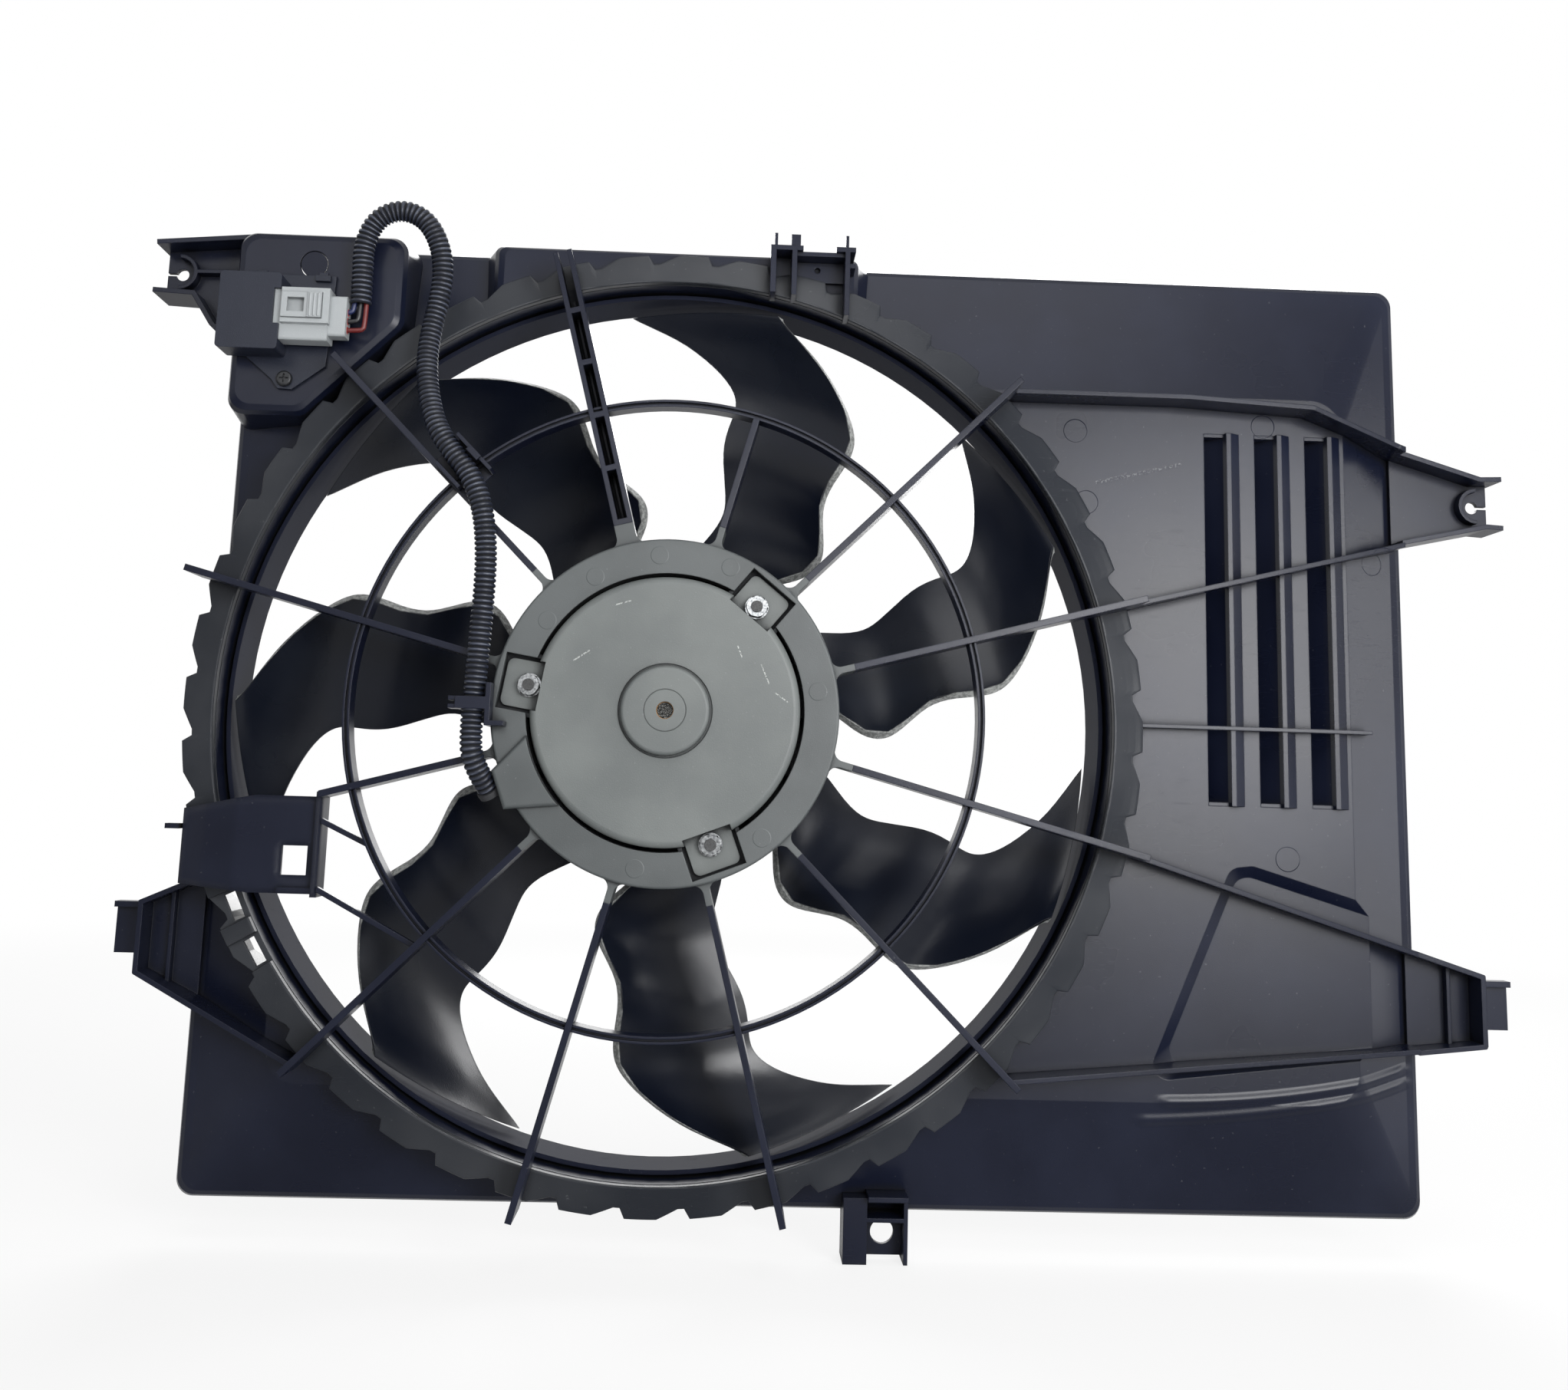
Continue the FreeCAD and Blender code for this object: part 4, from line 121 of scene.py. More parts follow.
softbox("window_light", (0.72, -1.45, 0.17), 0.54, 0.62, 21.0)
softbox("near_light", (0.05, -1.50, 0.34), 0.50, 0.40, 4.6)
softbox("left_light", (-0.62, -1.45, 0.66), 0.46, 0.36, 1.5)
softbox("top_light", (0.20, -0.95, 1.20), 0.94, 0.66, 6.3)
softbox("side_light", (1.50, -0.55, 0.05), 0.44, 0.70, 7.0)
softbox("back_light", (0.3, 1.4, 0.7), 1.4, 1.0, 22.0)

# %% [markdown]
# ## Background and floor
# The photograph shows nothing but white. The camera sees a world of strength 1, and so do
# mirrored and transmitted rays, while the surfaces are lit by a much weaker, even sky. The
# floor lies just under the lowest bracket. It is pale, keeps the object's shadow, and glows a
# little towards the camera so that it runs into the white.

# %% World and floor
SKY_LEVEL = 0.16
FLOOR_GAP = 0.0006
FLOOR_REACH = 6.0
FLOOR_GLOW = 0.80
FLOOR_FADE = (0.6, 2.2)

world = bpy.data.worlds.new("white_studio")
bpy.context.scene.world = world
world.use_nodes = True
sky = world.node_tree
sky.nodes.clear()
ray = sky.nodes.new("ShaderNodeLightPath")
seen = sky.nodes.new("ShaderNodeMath")
seen.operation = "MAXIMUM"
seen_any = sky.nodes.new("ShaderNodeMath")
seen_any.operation = "MAXIMUM"
level = sky.nodes.new("ShaderNodeMapRange")
level.inputs["To Min"].default_value = SKY_LEVEL
level.inputs["To Max"].default_value = 1.0
dome = sky.nodes.new("ShaderNodeBackground")
dome.inputs["Color"].default_value = (1.0, 1.0, 1.0, 1.0)
out = sky.nodes.new("ShaderNodeOutputWorld")
sky.links.new(ray.outputs["Is Camera Ray"], seen.inputs[0])
sky.links.new(ray.outputs["Is Transmission Ray"], seen.inputs[1])
sky.links.new(seen.outputs[0], seen_any.inputs[0])
sky.links.new(ray.outputs["Is Glossy Ray"], seen_any.inputs[1])
sky.links.new(seen_any.outputs[0], level.inputs["Value"])
sky.links.new(level.outputs["Result"], dome.inputs["Strength"])
sky.links.new(dome.outputs["Background"], out.inputs["Surface"])

floor_height = min(solid_box[0][2], solid_box[1][2]) - FLOOR_GAP
corners = np.array([(-1, -1), (1, -1), (1, 1), (-1, 1)], float) * FLOOR_REACH
floor_mesh = bpy.data.meshes.new("studio_floor")
floor_mesh.from_pydata([(float(x), float(y), floor_height) for x, y in corners], [], [(0, 1, 2, 3)])
floor = bpy.data.objects.new("studio_floor", floor_mesh)
bpy.context.scene.collection.objects.link(floor)
bpy.context.scene.view_settings.view_transform = "Standard"
print("floor height", round(floor_height, 4))

# %% [markdown]
# ## Shader arithmetic
# A finish is mostly sums: a base tone, plus a little cloudiness, minus a scratch. `Signal` wraps
# one socket so that such sums read as Python, and each operator adds its Math node. `Finish`
# holds one material, and its `add` is the only way in for any other node: it takes the node's
# type, its settings, and the numbers or signals for its sockets.

# %% Signal and Finish
class Signal:
    """The value of one socket, usable in sums with numbers and other signals."""

    def __init__(self, finish, socket):
        self.finish = finish
        self.socket = socket

    def maths(self, operation, *others):
        """One Math node on this signal and the others."""
        inputs = dict(enumerate((self,) + others))
        return self.finish.add("ShaderNodeMath", {"operation": operation}, inputs)

    def __add__(self, other):
        return self.maths("ADD", other)

    def __sub__(self, other):
        return self.maths("SUBTRACT", other)

    def __mul__(self, other):
        return self.maths("MULTIPLY", other)

    def __truediv__(self, other):
        return self.maths("DIVIDE", other)

    def __pow__(self, other):
        return self.maths("POWER", other)

    def __rsub__(self, other):
        return self.finish.add("ShaderNodeMath", {"operation": "SUBTRACT"}, {0: other, 1: self})

    def __rtruediv__(self, other):
        return self.finish.add("ShaderNodeMath", {"operation": "DIVIDE"}, {0: other, 1: self})

    def __abs__(self):
        return self.maths("ABSOLUTE")

    __radd__ = __add__
    __rmul__ = __mul__

    def output(self, name):
        """Another output of the node that this signal comes from."""
        return Signal(self.finish, self.socket.node.outputs[name])

    def rise(self, start, end):
        """A soft step: 0 up to start, 1 from end on. With end below start it falls instead."""
        return self.finish.add("ShaderNodeMapRange", {"interpolation_type": "SMOOTHSTEP"},
                               {"Value": self, "From Min": start, "From Max": end})


class Finish:
    """One material around a Principled shader, whose fixed numbers come in by name."""

    def __init__(self, name, **fixed):
        self.material = bpy.data.materials.new(name)
        self.material.use_nodes = True
        self.tree = self.material.node_tree
        self.tree.nodes.clear()
        sockets = {key.replace("_", " "): value for key, value in fixed.items()}
        self.shader = self.add("ShaderNodeBsdfPrincipled", {}, sockets)
        self.add("ShaderNodeOutputMaterial", {}, {"Surface": self.shader}, output=None)
        self.place = self.add("ShaderNodeTexCoord", output="Object")
        parts = self.add("ShaderNodeSeparateXYZ", {}, {0: self.place})
        self.across, self.deep, self.up = parts, parts.output("Y"), parts.output("Z")

    def add(self, kind, settings=None, inputs=None, output=0):
        """Adds a node: settings first, with a ramp's stops, then sockets by name or number."""
        node = self.tree.nodes.new(kind)
        for key, value in (settings or {}).items():
            if key == "stops":
                self.fill_ramp(node.color_ramp, value)
            else:
                setattr(node, key, value)
        for key, value in (inputs or {}).items():
            if isinstance(value, Signal):
                self.tree.links.new(value.socket, node.inputs[key])
            else:
                node.inputs[key].default_value = value
        return None if output is None else Signal(self, node.outputs[output])

    def fill_ramp(self, ramp, stops):
        """Gives a ramp grey stops from pairs of place and tone."""
        while len(ramp.elements) < len(stops):
            ramp.elements.new(1.0)
        for element, (spot, tone) in zip(ramp.elements, stops):
            element.position = spot
            element.color = (tone, tone, tone, 1.0)

    def set(self, name, value):
        """Gives one socket of the shader a signal."""
        self.tree.links.new(value.socket, self.shader.socket.node.inputs[name])

    def noise(self, scale, detail=2.0, stretch=(1.0, 1.0, 1.0), roughness=0.5):
        """Cloudy noise from 0 to 1. Scale is in waves per metre."""
        spot = self.add("ShaderNodeMapping", {}, {"Vector": self.place, "Scale": stretch})
        inputs = {"Vector": spot, "Scale": scale, "Detail": detail, "Roughness": roughness}
        return self.add("ShaderNodeTexNoise", {}, inputs)

    def tint(self, share, first, second):
        """The colour first where share is 0 and second where it is 1."""
        inputs = {0: share, 6: first, 7: second}
        return self.add("ShaderNodeMix", {"data_type": "RGBA"}, inputs, output=2)

    def open_air(self, reach, own_only=False):
        """1 in the open and 0 deep in a corner: the share of the nearby half space that is free."""
        settings = {"samples": CORNER_SAMPLES, "only_local": own_only}
        share = self.add("ShaderNodeAmbientOcclusion", settings, {"Distance": reach}, output="AO")
        return share.rise(*OPEN_SHARES)

    def from_axis(self):
        """Distance from the fan's axis: the root of across squared plus up squared."""
        return (self.across ** 2 + self.up ** 2) ** 0.5

    def relief(self, height, depth, edge=0.0):
        """Bumps the surface by height times depth in metres, over edges softened by a small radius."""
        inputs = {"Height": height, "Distance": depth, "Strength": 1.0}
        if edge:
            inputs["Normal"] = self.add("ShaderNodeBevel", {"samples": EDGE_SAMPLES}, {"Radius": edge})
        self.set("Normal", self.add("ShaderNodeBump", {}, inputs))


EDGE_SAMPLES = 4
CORNER_SAMPLES = 6
OPEN_SHARES = (0.22, 0.80)


def shade(red, green, blue):
    """A linear colour from the everyday 0 to 255 values, worked out by the sRGB curve."""
    tones = np.array([red, green, blue]) / 255.0
    linear = np.where(tones <= 0.04045, tones / 12.92, ((tones + 0.055) / 1.055) ** 2.4)
    return tuple(float(tone) for tone in linear) + (1.0,)


print("helpers ready")

# %% [markdown]
# ## Floor paper
# Plain matt paper. A part of what the camera sees of it is a steady white glow, which is mixed in
# by Is Camera Ray, so the object is lit only by the paper itself. Away from the object the glow
# takes over, and the paper runs into the white background without an edge.

# %% Floor paper
paper = Finish("studio_paper", Base_Color=(0.90, 0.90, 0.90, 1.0), Roughness=0.9)
glow = paper.add("ShaderNodeEmission", {}, {"Color": (1.0, 1.0, 1.0, 1.0), "Strength": 1.0})
camera_ray = paper.add("ShaderNodeLightPath", output="Is Camera Ray")
out_from_fan = (paper.across ** 2 + paper.deep ** 2) ** 0.5
paper_glow = FLOOR_GLOW + out_from_fan.rise(*FLOOR_FADE) * (1.0 - FLOOR_GLOW)
both = paper.add("ShaderNodeMixShader", {}, {0: camera_ray * paper_glow, 1: paper.shader, 2: glow})
sheet_end = [node for node in paper.tree.nodes if node.type == "OUTPUT_MATERIAL"][0]
paper.tree.links.new(both.socket, sheet_end.inputs["Surface"])
floor.data.materials.append(paper.material)

# %% [markdown]
# ## The conduit
# The lead runs in a split loom: a thin ribbed tube that bends easily and hides three wires. It
# leaves the plug upwards, turns over in a hairpin above the shroud, crosses the ring and lies
# along the motor carrier. Its centreline is one smooth NURBS spline through the route of the
# solid model. The ribs could be a displaced cylinder, but a radius that rises and falls with the
# length along the line gives every rib the same width however the tube bends.

# %% The conduit's line
CONDUIT_ROUTE = [
    (-0.1710, -0.0610, 0.2110),
    (-0.1710, -0.0610, 0.2275),
    (-0.1718, -0.0610, 0.2435),
    (-0.1663, -0.0610, 0.2586),
    (-0.1538, -0.0610, 0.2650),
    (-0.1408, -0.0610, 0.2610),
    (-0.1324, -0.0610, 0.2495),
    (-0.1284, -0.0610, 0.2335),
    (-0.1294, -0.0614, 0.2165),
    (-0.1324, -0.0630, 0.1985),
    (-0.1332, -0.0670, 0.1805),
    (-0.1298, -0.0730, 0.1605),
    (-0.1232, -0.0792, 0.1415),
    (-0.1138, -0.0822, 0.1286),
    (-0.1030, -0.0844, 0.1158),
    (-0.0960, -0.0862, 0.0990),
    (-0.0930, -0.0868, 0.0780),
    (-0.0929, -0.0866, 0.0560),
    (-0.0938, -0.0864, 0.0340),
    (-0.0946, -0.0864, 0.0120),
    (-0.0956, -0.0869, -0.0100),
    (-0.0944, -0.0872, -0.0285),
    (-0.0864, -0.0786, -0.0405),
]
LINE_STEPS = 16


def smooth_line(name, route):
    """Points along one NURBS spline of order 3 whose control points are the route."""
    curve = bpy.data.curves.new(name, "CURVE")
    curve.dimensions = "3D"
    curve.resolution_u = LINE_STEPS
    spline = curve.splines.new("NURBS")
    spline.points.add(len(route) - 1)
    spline.points.foreach_set("co", np.column_stack([route, np.ones(len(route))]).ravel())
    spline.order_u = 3
    spline.use_endpoint_u = True
    holder = bpy.data.objects.new(name, curve)
    bpy.context.scene.collection.objects.link(holder)
    bpy.context.view_layer.update()
    settled = holder.evaluated_get(bpy.context.evaluated_depsgraph_get())
    line = bpy.data.meshes.new_from_object(settled)
    points = np.zeros(len(line.vertices) * 3)
    line.vertices.foreach_get("co", points)
    bpy.data.objects.remove(holder)
    bpy.data.meshes.remove(line)
    return points.reshape(-1, 3)


def along(points):
    """Length from the start to each point: the running sum of the steps between them."""
    return np.concatenate([[0.0], np.cumsum(np.linalg.norm(np.diff(points, axis=0), axis=1))])


conduit_line = smooth_line("conduit_line", CONDUIT_ROUTE)
conduit_length = float(along(conduit_line)[-1])
print("conduit points", len(conduit_line), "length", round(conduit_length, 4))

# %% [markdown]
# ## A skin carried along a line
# Each station has a distance along the line and a radius. The ring of points at a station is the
# centre plus radius times (cos a side + sin a front), where side and front are square to the
# line. A distance may run backwards, and then the skin turns into the tube's own mouth. Both
# ends close in one point.

# %% Tube skin
LOOK_AHEAD = 0.0006
TOWARDS_CAMERA = np.array([0.0, -1.0, 0.0])


def place_on(points, distances):
    """Centres and directions at the given distances, by linear interpolation of the line."""
    length = along(points)

    def spots(reach):
        inside = np.clip(reach, 0.0, length[-1])
        return np.column_stack([np.interp(inside, length, points[:, i]) for i in range(3)])

    held = np.clip(distances, 0.0, length[-1])
    ways = spots(held + LOOK_AHEAD) - spots(held - LOOK_AHEAD)
    return spots(held), ways / np.linalg.norm(ways, axis=1)[:, None]


def grid_quads(stations, around):
    """Quads between neighbouring rings of points, each ring closed on itself."""
    rows = np.arange(stations - 1)[:, None] * around
    here = np.arange(around)[None, :]
    after = (here + 1) % around
    corners = [rows + here, rows + after, rows + around + after, rows + around + here]
    return np.stack(corners, axis=-1).reshape(-1, 4)


def tube_skin(name, points, distances, radii, around):
    """Closed skin: centre + radius (cos a side + sin a front), front square to the line."""
    centres, ways = place_on(points, distances)
    front = TOWARDS_CAMERA - (ways @ TOWARDS_CAMERA)[:, None] * ways
    front /= np.linalg.norm(front, axis=1)[:, None]
    side = np.cross(ways, front)
    angle = (np.arange(around) * 2 * math.pi / around)[None, :, None]
    ring = np.cos(angle) * side[:, None, :] + np.sin(angle) * front[:, None, :]
    skin = centres[:, None, :] + np.array(radii)[:, None, None] * ring
    count = len(distances)
    vertices = np.vstack([skin.reshape(-1, 3), centres[:1], centres[-1:]])
    quads = grid_quads(count, around)
    first, last = count * around, count * around + 1
    turn = np.arange(around)
    start_fan = np.column_stack([np.full(around, first), (turn + 1) % around, turn])
    end_fan = np.column_stack([np.full(around, last), (count - 1) * around + turn,
                               (count - 1) * around + (turn + 1) % around])
    mesh = bpy.data.meshes.new(name)
    mesh.from_pydata(vertices.tolist(), [], quads.tolist() + start_fan.tolist() + end_fan.tolist())
    mesh.polygons.foreach_set("use_smooth", np.ones(len(mesh.polygons), bool))
    travel = mesh.attributes.new("along", "FLOAT", "POINT")
    values = np.concatenate([np.repeat(distances, around), [distances[0], distances[-1]]])
    travel.data.foreach_set("value", values)
    piece = bpy.data.objects.new(name, mesh)
    bpy.context.scene.collection.objects.link(piece)
    return piece


# %% Ribs of the conduit
CONDUIT_RADIUS = 0.0056
RIB_PITCH = 0.0027
RIB_DEPTH = 0.00105
RIB_STATIONS = 8
RIB_NARROWNESS = 2.2
CONDUIT_SIDES = 24
MOUTH_RADIUS = 0.0042
MOUTH_DEPTH = 0.006

rib_count = round(conduit_length / RIB_PITCH)
rib_stations = np.linspace(0.0, conduit_length, rib_count * RIB_STATIONS + 1)
rib_phase = rib_stations / conduit_length * rib_count * 2 * math.pi
rib_radii = CONDUIT_RADIUS - RIB_DEPTH * (0.5 + 0.5 * np.cos(rib_phase)) ** RIB_NARROWNESS
into_mouth = np.array([MOUTH_DEPTH, 0.0])
out_of_end = np.array([conduit_length, conduit_length - MOUTH_DEPTH])
conduit = tube_skin(
    "ribbed_conduit",
    conduit_line,
    np.concatenate([into_mouth, rib_stations, out_of_end]),
    np.concatenate([np.full(2, MOUTH_RADIUS), rib_radii, np.full(2, MOUTH_RADIUS)]),
    around=CONDUIT_SIDES,
)
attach(conduit, "shroud")
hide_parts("conduit")
print("ribs", rib_count, "faces", len(conduit.data.polygons))

# %% [markdown]
# ## The wires
# Three wires come out of the plug's seals and turn up into the conduit. They are only a finger's
# width long, so each is one short bend. Their colours are dark, and the only ones on the part:
# red for the supply, black for the ground and blue for the speed signal.

# %% Wires
WIRE_RADIUS = 0.0013
WIRE_START = -0.1805
WIRE_DEEP = -0.0610
WIRE_HEIGHTS = (0.1966, 0.2014, 0.2062)
WIRE_TURNS = (-0.1679, -0.1710, -0.1741)
WIRE_TOP = 0.2155
WIRE_NAMES = ("supply", "ground", "signal")
WIRE_STATIONS = 25
WIRE_SIDES = 16
WIRE_CORNER = 0.002

wires = []
for wire_name, height, turn_x in zip(WIRE_NAMES, WIRE_HEIGHTS, WIRE_TURNS):
    route = [(WIRE_START, WIRE_DEEP, height), (turn_x - WIRE_CORNER, WIRE_DEEP, height),
             (turn_x, WIRE_DEEP, height + WIRE_CORNER), (turn_x, WIRE_DEEP, WIRE_TOP)]
    wire_line = smooth_line("wire_line_" + wire_name, route)
    reach = np.linspace(0.0, along(wire_line)[-1], WIRE_STATIONS)
    wire_radii = np.full(WIRE_STATIONS, WIRE_RADIUS)
    wire = tube_skin("wire_" + wire_name, wire_line, reach, wire_radii, WIRE_SIDES)
    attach(wire, "shroud")
    wires.append(wire)
    print(wire.name, "length", round(float(along(wire_line)[-1]), 4))
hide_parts("plug_wires")

# %% [markdown]
# ## The sloping ledge
# Round the fan ring runs a ledge with a ratchet edge. It isn't flat: it falls away from the groove
# like a low roof, and the teeth are cut out of its foot. The solid model keeps the flat ledge, and
# this thin cap lies on it. Its height is a function of two parameters, the angle round the axis
# and the share of the way from groove to edge. The cap is left out over the three small windows
# in the ledge, so it comes as three arcs.

# %% A closed skin from sections
def closed_sweep(name, sections, body="shroud"):
    """Closed skin over sections, stations by points by 3: quads between them, ends as faces."""
    stations, points, _ = sections.shape
    here = np.arange(points)
    quads = grid_quads(stations, points)
    vertices = sections.reshape(-1, 3)
    middle = vertices.mean(axis=0)
    a, b, c, d = (vertices[quads[:, i]] - middle for i in range(4))
    volume = np.einsum("ij,ij->", a, np.cross(b, c)) + np.einsum("ij,ij->", a, np.cross(c, d))
    first, last = here[::-1], (stations - 1) * points + here
    if volume < 0:
        quads, first, last = quads[:, ::-1], first[::-1], last[::-1]
    mesh = bpy.data.meshes.new(name)
    mesh.from_pydata(vertices.tolist(), [], quads.tolist() + [first.tolist(), last.tolist()])
    piece = bpy.data.objects.new(name, mesh)
    bpy.context.scene.collection.objects.link(piece)
    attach(piece, body)
    print(name, "faces", len(mesh.polygons))
    return piece


# %% Ledge caps
LEDGE_DEEP = -0.0442
LEDGE_INNER = 0.2342
TOOTH_ROOT = 0.2455
TOOTH_TOP = 0.2506
TOOTH_COUNT = 48
TOOTH_SHARES = (0.0, 0.05, 0.13, 0.62, 0.95, 1.0)
TOOTH_REACH = (TOOTH_ROOT, TOOTH_ROOT, TOOTH_TOP, TOOTH_TOP, TOOTH_ROOT, TOOTH_ROOT)
TOOTH_LIFT = (0.0, 0.0, 0.0007, 0.0004, 0.0, 0.0)
CREST_LIFT = 0.0052
EDGE_LIFT = 0.0009
CAP_ROOT = 0.0011
CAP_ARCS = ((213.6, 557.4), (201.5, 203.5), (207.5, 209.5))
KNOTS = np.array([0.0, 0.03, 0.05, 0.09, 0.13, 0.17, 0.28, 0.4, 0.52, 0.62, 0.7, 0.8, 0.9, 0.95, 0.98])
KNOT_GAP = 0.05
CAP_WAY = np.array([0.0, 0.0, 0.02, 0.07, 0.25, 0.5, 0.75, 0.92, 0.985, 1.0, 1.0, 0.9])
CAP_ROUNDING = np.array([0.0, 0.0009, 0.0003, 0.0, 0.0, 0.0, 0.0, 0.0, 0.0001, 0.0005, 0.0, 0.0])
CAP_BURIED = np.array([1, 0, 0, 0, 0, 0, 0, 0, 0, 0, 1, 1])


def cap_sections(start, end):
    """Height falls evenly with the distance from the groove, and a tooth adds a little."""
    pitch = 360.0 / TOOTH_COUNT
    teeth = np.arange(-1, 2 * TOOTH_COUNT)[:, None]
    knots = ((teeth + 0.5 + KNOTS) * pitch).ravel()
    inner = knots[(knots > start + KNOT_GAP) & (knots < end - KNOT_GAP)]
    angle = np.concatenate([[start], inner, [end]])
    share = (angle / pitch - 0.5) % 1.0
    reach = np.interp(share, TOOTH_SHARES, TOOTH_REACH)[:, None]
    lift = np.interp(share, TOOTH_SHARES, TOOTH_LIFT)[:, None]
    radius = LEDGE_INNER + (reach - LEDGE_INNER) * CAP_WAY
    fall = (radius - LEDGE_INNER) / (TOOTH_TOP - LEDGE_INNER)
    height = CREST_LIFT + (EDGE_LIFT - CREST_LIFT) * fall + lift * CAP_WAY ** 3 - CAP_ROUNDING
    height = np.where(CAP_BURIED, -CAP_ROOT, height)
    turn = np.radians(angle)[:, None]
    return np.stack([radius * np.cos(turn), LEDGE_DEEP - height, radius * np.sin(turn)], axis=-1)


ledge_caps = []
for number, arc in enumerate(CAP_ARCS, 1):
    ledge_caps.append(closed_sweep("ledge_cap_" + str(number), cap_sections(*arc)))

# %% [markdown]
# ## The ladder arm's web
# One guard arm is a ladder of two rails. The photograph shows no light between them, because a
# thin web closes the ladder near its back. The web is one straight sweep of a shallow channel.

# %% Ladder web
LADDER_ANGLE = 105.0
WEB_REACH = (0.0995, 0.2335)
WEB_HALF = 0.0029
WEB_PROFILE = ((-1.0, -0.0616), (-0.8, -0.0606), (0.0, -0.0602), (0.8, -0.0606), (1.0, -0.0616),
               (1.0, -0.0590), (-1.0, -0.0590))
WEB_STATIONS = 12
WEB_FALL = 0.0052

web_reach = np.linspace(WEB_REACH[0], WEB_REACH[1], WEB_STATIONS)
web_profile = np.array(WEB_PROFILE)
along_arm = np.array([math.cos(math.radians(LADDER_ANGLE)), 0.0, math.sin(math.radians(LADDER_ANGLE))])
across_arm = np.array([-along_arm[2], 0.0, along_arm[0]])
web_sections = (web_reach[:, None, None] * along_arm + WEB_HALF * web_profile[None, :, :1] * across_arm
                + np.array([0.0, 1.0, 0.0]) * (web_profile[None, :, 1:] + WEB_FALL
                                               * np.linspace(0.0, 1.0, WEB_STATIONS)[:, None, None]))
ladder_web = closed_sweep("ladder_web", web_sections)

# %% [markdown]
# ## Grip ribs on the latch
# A thumb presses the grey latch down on three small ribs. Each is a half-round bar with rounded
# ends: a fan of points across it, scaled down towards the last stations.

# %% Latch grip
GRIP_ACROSS = (-0.1946, -0.1924, -0.1902)
GRIP_DEEP = -0.0719
GRIP_HEIGHTS = (0.2006, 0.2134)
GRIP_RADIUS = 0.0008
GRIP_POINTS = 9
GRIP_SCALE = np.array([0.55, 0.85, 1.0, 1.0, 1.0, 0.85, 0.55])
GRIP_SHARE = np.array([0.0, 0.03, 0.09, 0.5, 0.91, 0.97, 1.0])

grip_ribs = []
bend = np.linspace(0.0, math.pi, GRIP_POINTS)
grip_levels = GRIP_HEIGHTS[0] + (GRIP_HEIGHTS[1] - GRIP_HEIGHTS[0]) * GRIP_SHARE
for number, grip_x in enumerate(GRIP_ACROSS, 1):
    width = grip_x + GRIP_RADIUS * GRIP_SCALE[:, None] * np.cos(bend)[None, :]
    depth = GRIP_DEEP - GRIP_RADIUS * GRIP_SCALE[:, None] * np.sin(bend)[None, :]
    levels = np.repeat(grip_levels[:, None], GRIP_POINTS, axis=1)
    rib_sections = np.stack([width, depth, levels], axis=-1)
    rib = closed_sweep("latch_grip_" + str(number), rib_sections, "latch")
    grip_ribs.append(rib)

# %% [markdown]
# ## Black shroud plastic
# Glass-filled nylon comes out of the mould satin and a little blue. Spark erosion leaves a fine
# grain on it, flow leaves faint clouds, and handling rubs long dull lines. The ejector pins
# leave round marks a few tenths of a millimetre proud. The panel carries those marks where the
# photograph shows them, so the finish takes a list of places. In corners, which an occlusion node
# finds, the colour is darkened as painted shade, and dust and oil take the shine away. The ledge,
# and the ring wherever it stands as far forward, get a paler tone: a painted sheen for the light
# they catch. The air duct inside the ring is sparked coarser still, so that side is given as
# rough. Two soft swage lines stiffen the lower right of the panel, and the strap bracket's folds
# are rounded more widely than other edges.

# %% Shroud finish
PANEL_TONE = shade(11, 15, 30)
PANEL_CLOUD = shade(20, 24, 39)
DUST_TONE = shade(128, 130, 132)
# Painted sheen: paler tones for the ledge, which catches the light.
LEDGE_SHEEN_TONES = (shade(27, 30, 36), shade(48, 50, 54))
LEDGE_DEPTHS = (-0.0432, -0.0440)
# Painted shade: the colour that corners are darkened towards.
PAINTED_CORNER_SHADE = shade(3, 4, 9)
CORNER_REACH = 0.007
DUCT_RADIUS = 0.2335
DUCT_BAND = 0.0006
GRAIN_SCALE = 2600.0
CLOUD_SCALE = 14.0
RUB_SCALE = 60.0
RUB_STRETCH = (1.0, 1.0, 9.0)
SPECK_SCALE = 480.0
SHROUD_GLOSS = 0.21
RING_GLOSS = 0.16
SHROUD_EDGE = 0.0007
SHROUD_RELIEF = 0.00016
LINE_OVERRUN = 0.0003
LINE_FADE = 0.0006
MARK_RADIUS = 0.0062
MARK_RIM = 0.0005
PANEL_MARKS = ((0.218, 0.164), (0.323, 0.170), (0.385, 0.096), (0.224, 0.124), (0.332, -0.066))
PANEL_SCUFF = ((0.229, 0.135), (0.277, 0.147))
SCUFF_WIDTH = 0.0009
SCUFF_SCALE = 900.0
SWAGES = ((0.258, 0.402, 0.2589, -0.1915, 0.90), (0.246, 0.402, 0.2319, -0.2015, 0.75))
SWAGE_WIDTH = 0.0042
SWAGE_FADE = 0.010
SWAGE_RISE = 6.0
STRAP_EDGE = 0.006


def rubbed_line(finish, ends, width):
    """A thin band between two points: 1 near their line, 0 away from it and beyond its ends."""
    start, end = np.array(ends[0]), np.array(ends[1])
    length = float(np.linalg.norm(end - start))
    way = (end - start) / length
    across = finish.across - float(start[0])
    up = finish.up - float(start[1])
    run = across * float(way[0]) + up * float(way[1])
    off = up * float(way[0]) - across * float(way[1])
    band = abs(off).rise(width * 1.6, width * 0.5)
    begun = band * run.rise(-LINE_OVERRUN, LINE_FADE)
    return begun * run.rise(length + LINE_OVERRUN, length - LINE_FADE)


def pin_marks(finish, places, radius=MARK_RADIUS):
    """Sum of discs: each is 1 inside the radius and falls to 0 over the width of its rim."""
    total = None
    for across, up in places:
        reach = ((finish.across - across) ** 2 + (finish.up - up) ** 2) ** 0.5
        disc = reach.rise(radius + MARK_RIM, radius)
        total = disc if total is None else total + disc
    return total


